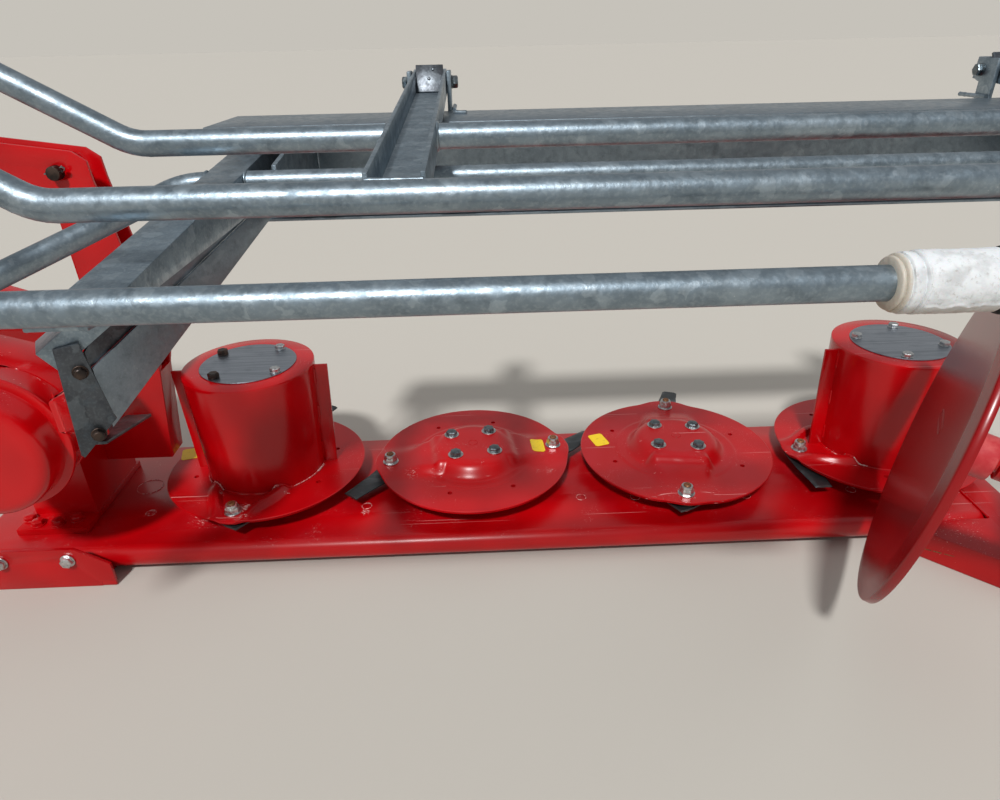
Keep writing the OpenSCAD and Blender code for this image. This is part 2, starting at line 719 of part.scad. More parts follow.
module fold_pipe_b() framed() color("lightgray") {
    y = pipe_b[0];
    z = pipe_b[1];
    mid = (y + pipe_a[0]) / 2 - seat;
    left = fold_left - 215;
    right = fold_right + fold_reach;
    left_z = pipe_a[1] + fold_rise[0];
    right_z = pipe_a[1] + fold_rise[1];
    pipe_run([[left, mid, left_z], [left, y, left_z], [fold_left, y, z], [fold_right, y, z], [right, y, right_z],
        [right, mid, right_z]], pipe_r, bend_r - 10);
}

// Discs
module disc_body(row, x) {
    table = disc_rows[row];
    translate([x, 0, 0]) rotate([0, 0, table[LINE]]) {
        difference() {
            union() {
                translate([0, 0, disc_low]) cylinder(h = disc_t, d = disc_d, $fn = 96);
                if (table[DRUM] == 1) feed_drum(-table[LINE]);
                else disc_middle();
                for (turn = [0, 180]) rotate(turn) knife_ramp(table[DRUM]);
            }
            for (turn = [64, 116, 244, 296]) rotate(turn) translate([133, 0, disc_low - 1]) cylinder(h = disc_t + 2, r = 5);
        }
        translate([0, 0, hub_low]) difference() {
            cylinder(h = disc_low - hub_low, r = 52);
            translate([0, 0, -1]) cylinder(h = disc_low - hub_low + 1, r = spindle_r + run_gap);
        }
        for (turn = [0, 180]) rotate(turn) translate([knife_bolt_circle_r, 0, 0]) {
            translate([0, 0, knife_top + seat]) cylinder(h = disc_low - knife_top - seat, r = 20);
            translate([0, 0, knife_low - 6 - seat]) cylinder(h = 30, r = knife_bolt_r);
            translate([0, 0, knife_low - 6 - seat]) cylinder(h = 6, r = 15);
        }
    }
}

// The raised middle of a flat disc
module disc_middle() translate([0, 0, disc_top]) rotate_extrude($fn = 96) polygon([
    [0, 0], [dome_r, 0], [dome_r - 6, 3], [dome_r - 18, dome_h - 7], [dome_r - 24, dome_h - 2],
    [dome_r - 32, dome_h], [0, dome_h]]);

// The pressed ridge that runs out to a knife's bolt
module knife_ramp(drum) intersection() {
    start = (drum == 1) ? drum_foot_r - 20 : 40;
    height = (drum == 1) ? 16 : dome_h - 4;
    union() {
        translate([start, 0, disc_top + height - 44]) rotate([0, 90 + 9, 0]) cylinder(h = disc_d / 2 - start - 12, r1 = 46, r2 = 30);
        translate([knife_bolt_circle_r, 0, disc_top]) cylinder(h = 4, r = 22);
    }
    translate([0, -60, disc_low]) cube([disc_d / 2 + 10, 120, 80]);
}

module feed_drum(back) {
    translate([0, 0, disc_top]) cylinder(h = drum_h, r1 = drum_foot_r, r2 = drum_top_r, $fn = 96);
    for (side = [0, 180]) rotate(back + side + 2)
        translate([drum_foot_r - 4, -fin_t / 2, disc_top]) cube([fin_w + drum_top_r - drum_foot_r, fin_t, drum_h - 8]);
}

module disc_cover(x) translate([x, 0, drum_top_z]) cylinder(h = cover_t, r = cover_r, $fn = 96);

module disc_knives(row, x) {
    table = disc_rows[row];
    for (end = [0, 1]) translate([x, 0, knife_low]) {
        at = table[LINE] + 180 * end;
        turn = (end == 0) ? table[KNIFE_A] : table[KNIFE_B];
        translate(knife_bolt_circle_r * [cos(at), sin(at), 0]) rotate([0, 0, turn]) linear_extrude(knife_t)
            difference() {
                polygon([[-28, -knife_w / 2 + 5], [-22, -knife_w / 2], [20, -knife_w / 2], [knife_reach, -knife_w / 2 + 6],
                    [knife_reach, knife_w / 2 - 6], [20, knife_w / 2], [-22, knife_w / 2], [-28, knife_w / 2 - 5]]);
                circle(knife_bolt_r + 0.5);
            }
    }
}

module disc_1() framed() color("red") disc_body(0, disc_x[0]);
module disc_2() framed() color("red") disc_body(1, disc_x[1]);
module disc_3() framed() color("red") disc_body(2, disc_x[2]);
module disc_4() framed() color("red") disc_body(3, disc_x[3]);
module cover_1() framed() color("silver") disc_cover(disc_x[0]);
module cover_4() framed() color("silver") disc_cover(disc_x[3]);
module knives_1() framed() color("dimgray") disc_knives(0, disc_x[0]);
module knives_2() framed() color("dimgray") disc_knives(1, disc_x[1]);
module knives_3() framed() color("dimgray") disc_knives(2, disc_x[2]);
module knives_4() framed() color("dimgray") disc_knives(3, disc_x[3]);

// Swath disc: local Z is the disc's own axis, pointing outboard and to the rear
module at_swath() translate(swath_mid) rotate([0, 90 + swath_tilt, swath_turn]) children();

module swath_disc() framed() color("red") at_swath() {
    rotate_extrude($fn = 120) polygon([[0, 0], [swath_r - swath_band, 0], [swath_r - 2, swath_slope],
        [swath_r, swath_slope + 2], [swath_r, swath_rim], [swath_r - swath_t, swath_rim],
        [swath_r - swath_t, swath_slope + swath_t], [swath_r - swath_band, swath_t], [0, swath_t]]);
    difference() {
        cylinder(h = swath_hub_l, r1 = axle_r + 23, r2 = axle_r + 15);
        translate([0, 0, 14]) cylinder(h = swath_hub_l, r = axle_r + run_gap);
    }
}

// Axle in a tube, carried by a flat bar and a post on the outer shoe
module swath_arm() framed() color("red") at_swath() {
    translate([0, 0, 16]) cylinder(h = swath_arm_at - 10, r = axle_r);
    translate([0, 0, swath_hub_l + 6]) cylinder(h = swath_arm_at - swath_hub_l, r = axle_r + 9);
    translate([-46, 0, swath_arm_at - 4]) cube([80, post_at, 8]);
    translate([-46, post_at - post_w, swath_arm_at - 4]) cube([46 + post_drop, post_w, 8]);
    translate([post_drop, post_at - post_w / 2, swath_arm_at]) rotate([0, -90 - swath_tilt, 0])
        cube([56, 64, foot_t], center = true);
}

hitch_frame();
lower_hitch_pins();
main_beam();
hinge_boss();
belt_guard();
pulley_cover();
input_housing();
cylinder_lugs();
leg_socket();
parking_leg();
input_shaft();
cylinder_barrel();
cylinder_rod();
bar_housing();
inner_shoe();
outer_shoe();
skid_shoes();
gear_tower();
lift_lever();
lever_pin();
arm_carrier();
arm_bracket();
support_arm();
arm_plate();
rear_pipe_lower();
rear_pipe_upper();
pipe_sleeve();
sleeve_cap();
guard_beam();
beam_posts();
fold_lugs();
fold_arms();
fold_pipe_a();
fold_pipe_b();
disc_1();
disc_2();
disc_3();
disc_4();
cover_1();
cover_4();
knives_1();
knives_2();
knives_3();
knives_4();
swath_arm();
swath_disc();
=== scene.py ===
# Disc mower parked on its leg: finishes, pressed discs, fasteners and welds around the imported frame.
import json
import math
import random

import bpy
from mathutils import Matrix, Vector, noise


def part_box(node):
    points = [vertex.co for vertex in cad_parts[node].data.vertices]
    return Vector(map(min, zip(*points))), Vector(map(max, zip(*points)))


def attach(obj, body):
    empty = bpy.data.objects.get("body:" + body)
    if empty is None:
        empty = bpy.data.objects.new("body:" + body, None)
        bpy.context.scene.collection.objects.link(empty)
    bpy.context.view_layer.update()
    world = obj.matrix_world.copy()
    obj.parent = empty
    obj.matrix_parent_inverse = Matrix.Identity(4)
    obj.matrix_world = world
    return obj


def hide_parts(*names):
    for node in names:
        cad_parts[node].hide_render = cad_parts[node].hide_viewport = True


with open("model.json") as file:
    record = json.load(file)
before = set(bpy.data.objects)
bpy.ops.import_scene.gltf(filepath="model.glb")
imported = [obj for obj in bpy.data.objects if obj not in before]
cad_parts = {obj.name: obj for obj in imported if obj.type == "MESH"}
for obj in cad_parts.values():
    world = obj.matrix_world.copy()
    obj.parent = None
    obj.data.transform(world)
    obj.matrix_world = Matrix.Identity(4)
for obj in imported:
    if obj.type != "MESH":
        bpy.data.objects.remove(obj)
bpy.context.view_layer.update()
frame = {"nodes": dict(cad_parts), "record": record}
mm = 0.001
dice = random.Random(7)

# Places are millimetres from the inner disc's axis: X outboard, Y towards the tractor, Z above the ground
coverLow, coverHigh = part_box("cover_1")
lastLow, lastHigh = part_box("cover_4")
origin = Vector(((coverLow.x + coverHigh.x) / 2, (coverLow.y + coverHigh.y) / 2, 0))
discPitch = ((lastLow.x + lastHigh.x) / 2 - origin.x) / 3 / mm
discTop = 92
drumTop = coverLow.z / mm
barTop = 52
bodyOf = {name: body for body, names in frame["record"]["behaviour"]["bodies"].items() for name in names}

# Shared places: (X, Z) of cross pieces, and the guard's knee on the support arm
pulleyAt = (-305, 300)
inputAt = (-950, 505)
anchorAt = (-1250, 900)
leverAt = (-220, 649)
hitchX, hitchPinY, hitchPinZ, hitchHalf = -1150, 260, 400, 341.5
armKnee = (136.5, -316, 677)


def spot(x, y, z):
    return origin + Vector((x, y, z)) * mm


# Small helpers

def pick(piece):
    bpy.ops.object.select_all(action="DESELECT")
    piece.select_set(True)
    bpy.context.view_layer.objects.active = piece


def settle(piece):
    pick(piece)
    bpy.ops.object.transform_apply(location=True, rotation=True, scale=True)


def smooth(piece, degrees=35):
    pick(piece)
    bpy.ops.object.shade_smooth_by_angle(angle=math.radians(degrees))


def tidyMesh(piece, gap=0.01):
    pick(piece)
    bpy.ops.object.mode_set(mode="EDIT")
    bpy.ops.mesh.select_all(action="SELECT")
    bpy.ops.mesh.remove_doubles(threshold=gap * mm)
    bpy.ops.mesh.normals_make_consistent(inside=False)
    bpy.ops.object.mode_set(mode="OBJECT")


def roundEdges(piece, width, steps=2, degrees=35):
    pick(piece)
    rim = piece.modifiers.new("edges", "BEVEL")
    rim.width = width * mm
    rim.segments = steps
    rim.limit_method = "ANGLE"
    rim.angle_limit = math.radians(degrees)
    rim.use_clamp_overlap = True
    bpy.ops.object.modifier_apply(modifier=rim.name)


def joinAll(pieces, name):
    bpy.ops.object.select_all(action="DESELECT")
    for piece in pieces:
        piece.select_set(True)
    bpy.context.view_layer.objects.active = pieces[0]
    if len(pieces) > 1:
        bpy.ops.object.join()
    joined = bpy.context.view_layer.objects.active
    joined.name = name
    return joined


def copyTo(source, place):
    # a copy with its own mesh, moved by the 4 x 4 place
    copied = source.copy()
    copied.data = source.data.copy()
    bpy.context.scene.collection.objects.link(copied)
    copied.data.transform(place)
    return copied


def standAt(point, towards=(0, 0, 1), spin=0):
    # turns local Z to the given direction, at the point
    turn = Vector(towards).to_track_quat("Z", "Y").to_matrix().to_4x4()
    return Matrix.Translation(point) @ turn @ Matrix.Rotation(math.radians(spin), 4, "Z")


def dress(piece, body, finish, replaced=()):
    if finish:
        piece.data.materials.clear()
        piece.data.materials.append(finish)
    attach(piece, body)
    if replaced:
        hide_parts(*replaced)
    return piece


def ringStack(name, rings, steps=64):
    # rings are (radius, height) from one end to the other: a circle is extruded and resized ring by ring
    bpy.ops.object.select_all(action="DESELECT")
    radius, height = rings[0]
    bpy.ops.mesh.primitive_circle_add(vertices=steps, radius=radius * mm, location=(0, 0, height * mm))
    piece = bpy.context.active_object
    piece.name = name
    bpy.ops.object.transform_apply(location=True, rotation=True, scale=True)
    bpy.ops.object.mode_set(mode="EDIT")
    bpy.ops.mesh.select_all(action="SELECT")
    bpy.ops.mesh.edge_face_add()
    bpy.ops.mesh.select_all(action="SELECT")
    for nextRadius, nextHeight in rings[1:]:
        rise = (nextHeight - height) * mm
        bpy.ops.mesh.extrude_region_move(TRANSFORM_OT_translate={"value": (0, 0, rise)})
        size = nextRadius / radius
        bpy.ops.transform.resize(value=(size, size, 1), center_override=(0, 0, nextHeight * mm))
        radius, height = nextRadius, nextHeight
    bpy.ops.object.mode_set(mode="OBJECT")
    tidyMesh(piece, 0.002)
    return piece


# Finishes

def toLinear(hexColour):
    parts = [int(hexColour[i:i + 2], 16) / 255 for i in (1, 3, 5)]
    return tuple(v / 12.92 if v <= 0.04045 else ((v + 0.055) / 1.055) ** 2.4 for v in parts) + (1,)


def addNode(tree, kind, settings):
    # a setting is an attribute, a socket's value, an sRGB hex colour, or another node's output to link
    node = tree.nodes.new(kind)
    for key, value in settings.items():
        if isinstance(key, str) and hasattr(node, key):
            setattr(node, key, value)
        elif isinstance(value, bpy.types.NodeSocket):
            tree.links.new(value, node.inputs[key])
        elif isinstance(value, str):
            node.inputs[key].default_value = toLinear(value)
        else:
            node.inputs[key].default_value = value
    return node


def startFinish(name, settings):
    finish = bpy.data.materials.new(name)
    finish.use_nodes = True
    tree = finish.node_tree
    shader = tree.nodes["Principled BSDF"]
    for key, value in settings.items():
        shader.inputs[key].default_value = value
    place = addNode(tree, "ShaderNodeTexCoord", {}).outputs["Object"]
    return finish, tree, shader, place


def limits(low, high, lowValue=0.0, highValue=1.0):
    # settings of a soft passage from one value to another
    return {"interpolation_type": "SMOOTHSTEP", "From Min": low, "From Max": high, "To Min": lowValue,
        "To Max": highValue}


def grain(tree, place, size, detail=3.0, stretch=(1, 1, 1), rough=0.55):
    # noise whose blotches are about size millimetres across
    mapped = addNode(tree, "ShaderNodeMapping", {"Scale": stretch, "Vector": place}).outputs["Vector"]
    settings = {"Scale": 1 / (size * mm), "Detail": detail, "Roughness": rough, "Vector": mapped}
    return addNode(tree, "ShaderNodeTexNoise", settings).outputs["Fac"]


def patches(tree, place, size, detail, low, high, stretch=(1, 1, 1), rough=0.55):
    # 0 to 1 where such noise passes from low to high
    blotches = grain(tree, place, size, detail, stretch, rough)
    return addNode(tree, "ShaderNodeMapRange", {**limits(low, high), "Value": blotches}).outputs["Result"]


def together(tree, *amounts):
    # where all the amounts are, as their product
    product = amounts[0]
    for amount in amounts[1:]:
        settings = {"operation": "MULTIPLY", 0: product, 1: amount}
        product = addNode(tree, "ShaderNodeMath", settings).outputs[0]
    return product


def coat(tree, under, over, amount, strength=1.0):
    # one colour over another where the amount says, at most as strong as the strength
    share = together(tree, amount, strength)
    return addNode(tree, "ShaderNodeMix", {"data_type": "RGBA", 0: share, 6: under, 7: over}).outputs[2]


def finishSurface(tree, shader, colour, roughSource, roughLimits):
    # the colour, and the roughness that follows a pattern between its limits
    tree.links.new(colour, shader.inputs["Base Color"])
    rough = addNode(tree, "ShaderNodeMapRange", {**limits(*roughLimits), "Value": roughSource})
    tree.links.new(rough.outputs["Result"], shader.inputs["Roughness"])


def topFacing(tree):
    normal = addNode(tree, "ShaderNodeNewGeometry", {}).outputs["Normal"]
    up = addNode(tree, "ShaderNodeSeparateXYZ", {0: normal}).outputs["Z"]
    return addNode(tree, "ShaderNodeMapRange", {**limits(0.55, 0.9), "Value": up}).outputs["Result"]


def nearSpots(tree, place, spots):
    # each spot, (point, radius in mm, strength), is strongest in its middle and falls to 0 at its radius
    total = None
    for point, radius, strength in spots:
        away = addNode(tree, "ShaderNodeVectorMath", {"operation": "DISTANCE", 0: place, 1: point})
        reach = limits(0.3 * radius * mm, radius * mm, strength, 0.0)
        reach["Value"] = away.outputs["Value"]
        share = addNode(tree, "ShaderNodeMapRange", reach).outputs["Result"]
        if total is not None:
            share = addNode(tree, "ShaderNodeMath", {"operation": "MAXIMUM", 0: total, 1: share}).outputs[0]
        total = share
    return total


def redEnamel(name="redEnamel", wear=1.0, deep="#A60007", lit="#BE0109", spots=(), sheen=0.2):
    # gloss farm enamel over steel: deep red, faint orange peel, dust and nicks on its top faces
    look = {"cloud": 180, "haze": 110, "dustPatch": 60, "dustSpeck": 1.7, "scratch": 50, "chip": 2.2,
        "peel": 3}
    finish, tree, shader, place = startFinish(name, {"IOR": 1.46, "Roughness": 0.2})
    colour = coat(tree, deep, lit, patches(tree, place, look["cloud"], 2, 0.35, 0.65))
    up = topFacing(tree)
    patch = patches(tree, place, look["dustPatch"], 4, 0.5, 0.68)
    speck = patches(tree, place, look["dustSpeck"], 2, 0.66, 0.74)
    dust = together(tree, patch, speck, up)
    haze = together(tree, patches(tree, place, look["haze"], 5, 0.45, 0.75), up, 0.12)
    scratch = together(tree, patches(tree, place, look["scratch"], 1, 0.745, 0.755, (0.1, 11, 11)), up)
    colour = coat(tree, colour, "#C23A4A", haze)
    colour = coat(tree, colour, "#EBC6C4", dust, 0.7 * wear)
    colour = coat(tree, colour, "#E4A9A6", scratch, 0.4 * wear)
    dull = addNode(tree, "ShaderNodeMath", {"operation": "MAXIMUM", 0: dust, 1: haze}).outputs[0]
    if spots:
        # worn places, where the enamel is scuffed through to its pale primer
        worn = nearSpots(tree, place, spots)
        fleck = grain(tree, place, look["chip"], 5, (0.5, 1, 1), 0.65)
        lifted = addNode(tree, "ShaderNodeMath", {"operation": "MULTIPLY_ADD", 0: worn, 1: 0.26, 2: fleck})
        flaked = addNode(tree, "ShaderNodeMapRange", {**limits(0.72, 0.79), "Value": lifted.outputs[0]})
        inside = addNode(tree, "ShaderNodeMapRange", {**limits(0.02, 0.2), "Value": worn})
        chips = together(tree, flaked.outputs["Result"], inside.outputs["Result"])
        colour = coat(tree, colour, "#E0C4BE", chips, 0.75)
        dull = addNode(tree, "ShaderNodeMath", {"operation": "MAXIMUM", 0: dull, 1: chips}).outputs[0]
    finishSurface(tree, shader, colour, dull, (0.0, 1.0, sheen, 0.7))
    peel = grain(tree, place, look["peel"], 2)
    bump = addNode(tree, "ShaderNodeBump", {"Strength": 0.05, "Distance": 0.0004, "Height": peel})
    tree.links.new(bump.outputs["Normal"], shader.inputs["Normal"])
    return finish


def galvanised(name="galvanised", flake=13, contrast=1.0, base=("#7B8993", "#8A98A2")):
    # hot-dip zinc: frozen crystal flakes, 13 mm wide on tube, each a little different, with bloom and soot
    finish, tree, shader, place = startFinish(name, {"Metallic": 0.9, "Roughness": 0.4})
    wobble = addNode(tree, "ShaderNodeTexNoise", {"Scale": 110.0, "Detail": 4.0, "Vector": place})
    drift = addNode(tree, "ShaderNodeVectorMath", {"operation": "MULTIPLY_ADD", 0: wobble.outputs["Color"],
        1: (0.014, 0.014, 0.014), 2: place})
    cells = addNode(tree, "ShaderNodeTexVoronoi", {"feature": "SMOOTH_F1", "Scale": 1 / (flake * mm),
        "Smoothness": 0.45, "Vector": drift.outputs["Vector"]})
    shade = addNode(tree, "ShaderNodeSeparateXYZ", {0: cells.outputs["Color"]}).outputs
    bright = addNode(tree, "ShaderNodeMapRange", {**limits(0.7, 0.9), "Value": shade["Y"]}).outputs["Result"]
    bloom = patches(tree, place, 40, 6, 0.5, 0.72, (0.6, 1, 1))
    soot = patches(tree, place, 17, 7, 0.5, 0.7, (0.7, 1, 1), 0.68)
    fine = patches(tree, place, 3.2, 5, 0.45, 0.7)
    spark = patches(tree, place, 2.6, 3, 0.68, 0.76)
    colour = coat(tree, base[0], base[1], shade["X"])
    colour = coat(tree, colour, "#B2BFC7", bright, 0.36 * contrast)
    colour = coat(tree, colour, "#A9B6BE", bloom, 0.42 * contrast)
    colour = coat(tree, colour, "#56626B", soot, 0.42)
    colour = coat(tree, colour, "#C3CDD2", fine, 0.18 * contrast)
    colour = coat(tree, colour, "#E3E9EA", together(tree, spark, bloom), 0.7)
    finishSurface(tree, shader, colour, grain(tree, place, 9, 5), (0.35, 0.7, 0.34, 0.52))
    drips = grain(tree, place, 5, 6)
    bump = addNode(tree, "ShaderNodeBump", {"Strength": 0.3, "Distance": 0.0008, "Height": drips})
    tree.links.new(bump.outputs["Normal"], shader.inputs["Normal"])
    return finish


def zincPlate(name="zincPlate", tint="#B9BCBE", rolled=False):
    # bright zinc plate, or bare cold-rolled sheet with its rolling lines
    finish, tree, shader, place = startFinish(name, {"Metallic": 1.0, "Roughness": 0.3})
    size, stretch = (14, (0.08, 6, 6)) if rolled else (5, (1, 1, 1))
    second, stained = ("#8D959E", "#77808A") if rolled else ("#DADBDA", "#8E8C84")
    colour = coat(tree, tint, second, patches(tree, place, size, 4, 0.35, 0.7, stretch))
    colour = coat(tree, colour, stained, patches(tree, place, 30, 5, 0.5, 0.75), 0.5)
    finishSurface(tree, shader, colour, grain(tree, place, size, 4, stretch), (0.3, 0.7, 0.26, 0.42))
    return finish


def knifeSteel():
    # hardened spring steel with its black oxide, greyer where it is rubbed
    finish, tree, shader, place = startFinish("knifeSteel", {"Metallic": 0.85, "Roughness": 0.42})
    rubbed = patches(tree, place, 25, 4, 0.4, 0.7, (0.4, 1, 1))
    colour = coat(tree, "#4B4E50", "#6C7073", rubbed)
    colour = coat(tree, colour, "#6B4A38", patches(tree, place, 9, 5, 0.66, 0.74), 0.5)
    finishSurface(tree, shader, colour, rubbed, (0.0, 1.0, 0.5, 0.34))
    return finish


def plainSteel(name, colour, second, rough, metallic=1.0, size=12):
    # machined, cast or oiled metal with a little mottling, and with metallic 0 matt paint or rubber
    finish, tree, shader, place = startFinish(name, {"Metallic": metallic, "Roughness": rough})
    mottled = patches(tree, place, size, 4, 0.38, 0.68)
    mixed = coat(tree, colour, second, mottled)
    finishSurface(tree, shader, mixed, mottled, (0.0, 1.0, rough * 0.8, rough * 1.25))
    return finish


def wrapFilm():
    # crumpled white packing film, dusty in its folds, yellowed at its rim, and darker and browner towards
    # its bottom
    finish, tree, shader, place = startFinish("wrapFilm", {"IOR": 1.49, "Roughness": 0.45,
        "Subsurface Weight": 0.08, "Subsurface Scale": 0.004})
    along = addNode(tree, "ShaderNodeSeparateXYZ", {0: place}).outputs
    rimLimits = limits(spot(706, 0, 0).x, spot(710, 0, 0).x, 1.0, 0.0)
    lowLimits = limits(spot(0, 0, 648).z, spot(0, 0, 658).z, 1.0, 0.0)
    rim = addNode(tree, "ShaderNodeMapRange", {**rimLimits, "Value": along["X"]}).outputs["Result"]
    below = addNode(tree, "ShaderNodeMapRange", {**lowLimits, "Value": along["Z"]}).outputs["Result"]
    colour = coat(tree, "#C6C8C9", "#E0E3E5", patches(tree, place, 14, 5, 0.3, 0.55))
    colour = coat(tree, colour, "#9C9892", patches(tree, place, 4, 6, 0.54, 0.7, (1, 1, 1), 0.65), 0.55)
    colour = coat(tree, colour, "#B9AD98", rim, 0.75)
    colour = coat(tree, colour, "#9A8D7C", below, 0.55)
    tree.links.new(colour, shader.inputs["Base Color"])
    crinkle = grain(tree, place, 6, 7)
    bump = addNode(tree, "ShaderNodeBump", {"Strength": 0.55, "Distance": 0.0012, "Height": crinkle})
    tree.links.new(bump.outputs["Normal"], shader.inputs["Normal"])
    return finish


def labelFilm():
    # printed vinyl label, left blank: warm yellow with scuffs
    finish, tree, shader, place = startFinish("labelFilm", {"IOR": 1.46, "Roughness": 0.35})
    colour = coat(tree, "#EFCB1A", "#B4932A", patches(tree, place, 6, 4, 0.56, 0.72), 0.45)
    tree.links.new(colour, shader.inputs["Base Color"])
    return finish


def chalkMark():
    # ground-off paint and dust round a plug or a bolt
    finish, tree, shader, place = startFinish("chalkMark", {"Roughness": 0.8})
    colour = coat(tree, "#C4343A", "#E2C5C0", patches(tree, place, 3, 4, 0.4, 0.62))
    tree.links.new(colour, shader.inputs["Base Color"])
    return finish


red = redEnamel()
wornPlaces = [(spot(-8, -150, 98), 24, 1.0), (spot(0, -176, 96), 14, 0.8), (spot(779, -160, 98), 30, 0.7),
    (spot(330, -66, 96), 26, 0.5), (spot(282, -60, 94), 26, 0.55), (spot(545, -66, 93), 18, 0.6),
    (spot(520, -62, 93), 16, 0.5), (spot(242, -12, 98), 16, 0.6), (spot(1044, -14, 98), 16, 0.6),
    (spot(-60, -105, 95), 12, 0.8), (spot(60, -108, 95), 10, 0.7), (spot(820, -70, 95), 14, 0.5),
    (spot(640, -50, 95), 14, 0.4), (spot(200, -118, 53), 16, 0.8), (spot(-95, -128, 53), 18, 0.7),
    (spot(905, -118, 53), 14, 0.4), (spot(-204, -104, 53), 10, 0.6), (spot(1235, -225, 52), 95, 0.42)]
redWorn = redEnamel("redEnamelWorn", 1.4, spots=wornPlaces, sheen=0.3)
# a darker red enamel for the swath disc: its own gloss paint with less dust, darkened with painted shade
redGlossShaded = redEnamel("redEnamelShaded", 0.5, "#8A0106", "#980208", sheen=0.26)
# a paler, pinkish matt red for the swath disc's hub
palePinkRed = plainSteel("palePinkRed", "#B8262E", "#C8504F", 0.5, 0.0, 20)
peeledPlaces = [(spot(-420, -150, 402), 70, 0.9), (spot(-360, -150, 402), 55, 0.8)]
redPeeled = redEnamel("redEnamelPeeled", 1.0, spots=peeledPlaces)
zincCoat = galvanised()
smoothZinc = galvanised("galvanisedSheet", 30, 0.45, ("#7B8790", "#838F98"))
# galvanising painted dark: painted shade on the arm's bracket, the plate's low web and the fold end plates
shadedZinc = galvanised("galvanisedShaded", 20, 0.3, ("#44474C", "#54585D"))
zinc = zincPlate()
bareSheet = zincPlate("bareSheet", "#A7AEB8", True)
knifeFinish = knifeSteel()
darkBolt = plainSteel("blackBolt", "#2B2523", "#4A3C34", 0.45, 0.7)
greyBolt = plainSteel("greyBolt", "#5C6468", "#7B8488", 0.36, 0.9, 6)
rustyStud = plainSteel("rustyStud", "#8A5A34", "#5E3B26", 0.6, 0.3, 4)
brightSteel = plainSteel("brightSteel", "#9EA1A3", "#7F8488", 0.28)
chrome = plainSteel("hardChrome", "#D5D8DB", "#C6CACE", 0.08)
wrap = wrapFilm()
rubber = plainSteel("blackRubber", "#17181A", "#242527", 0.75, 0.0, 6)
label = labelFilm()
chalk = chalkMark()
# near-black matt that paints the shade inside a hole
holeShade = plainSteel("holeShade", "#160506", "#1D0708", 0.9, 0.0)
skidSteel = plainSteel("skidSteel", "#3B3735", "#55504C", 0.5, 0.6, 18)
print("finishes made")


# Frame nodes whose shape is right: copies with merged faces and softened edges

def dressNode(name, body, finish, edge):
    node = frame["nodes"][name]
    piece = bpy.data.objects.new(name + "_shell", node.data.copy())
    bpy.context.scene.collection.objects.link(piece)
    pick(piece)
    bpy.ops.object.mode_set(mode="EDIT")
    bpy.ops.mesh.select_all(action="SELECT")
    bpy.ops.mesh.customdata_custom_splitnormals_clear()
    bpy.ops.mesh.remove_doubles(threshold=0.01 * mm)
    bpy.ops.mesh.dissolve_limited(angle_limit=math.radians(0.6))
    bpy.ops.object.mode_set(mode="OBJECT")
    if edge:
        rim = piece.modifiers.new("edges", "BEVEL")
        rim.width = edge * mm
        rim.segments = 2
        rim.limit_method = "ANGLE"
        rim.angle_limit = math.radians(42)
        rim.use_clamp_overlap = False
        bpy.ops.object.modifier_apply(modifier=rim.name)
    smooth(piece, 32)
    return dress(piece, body, finish, [name])


# each slot's finish, and how many millimetres each node's edges are rounded
shells = {
    "red_enamel": (red, {"hitch_frame": 2, "main_beam": 5, "hinge_boss": 2, "belt_guard": 3,
        "input_housing": 0.8, "cylinder_lugs": 1.5, "leg_socket": 2, "parking_leg": 1.5,
        "cylinder_barrel": 1.5, "bar_housing": 3, "inner_shoe": 0.3, "outer_shoe": 2.5, "gear_tower": 0.7,
        "lift_lever": 1.2, "arm_carrier": 3, "swath_arm": 1.2}),
    "galvanised_steel": (zincCoat, {"arm_bracket": 0.9, "support_arm": 1.4, "arm_plate": 0.9,
        "rear_pipe_lower": 0, "rear_pipe_upper": 0, "guard_beam": 1, "beam_posts": 1.2, "fold_lugs": 1,
        "fold_arms": 0.8, "fold_pipe_a": 0, "fold_pipe_b": 0}),
    "zinc_plate": (zinc, {"lower_hitch_pins": 1.5, "lever_pin": 1.2}),
    "knife_steel": (skidSteel, {"skid_shoes": 1.2}),
    "chromed_rod": (chrome, {"cylinder_rod": 0.8}),
    "bright_steel": (brightSteel, {"input_shaft": 0.2})}
# the arm's bracket takes the dark zinc, which is painted shade
special = {"bar_housing": redWorn, "outer_shoe": redWorn, "belt_guard": redPeeled,
    "arm_plate": smoothZinc, "arm_bracket": shadedZinc, "guard_beam": smoothZinc, "lever_pin": darkBolt}
for slotName, (finish, edges) in shells.items():
    for name, edge in edges.items():
        dressNode(name, bodyOf[name], special.get(name, finish), edge)
print("frame shells dressed")


# Pressed disc plates, the same pressing on all four discs

# line is the turn of the knife bolts' line, cover that of the cover's bolts, knives those of the two knives
discRows = [{"x": 0, "line": -97.7, "drum": True, "cover": -36, "knives": (140, 60)},
    {"x": 1, "line": 187.3, "drum": False, "cover": 0, "knives": (231.3, 40)},
    {"x": 2, "line": -97.5, "drum": False, "cover": 0, "knives": (31, 69.6)},
    {"x": 3, "line": 188.3, "drum": True, "cover": -20, "knives": (272, 118)}]
pressing = {"radius": 185, "thick": 6, "dome": 27, "plateau": 70, "domeFoot": 97, "boltCircle": 161,
    "pad": 4, "rampTop": 15, "lobe": 191, "steps": 192, "holes": 133, "holeRadius": 4.6,
    "holeTurns": (64, 116, 244, 296), "rib": 12}


def smoothStep(low, high, value):
    t = min(1, max(0, (value - low) / (high - low)))
    return t * t * (3 - 2 * t)


def crease(low, high, value):
    # 0 to 1 along a straight slope with small rounded ends, as a press leaves it
    t = min(1, max(0, (value - low) / (high - low)))
    return t - 0.09 * math.sin(2 * math.pi * t)


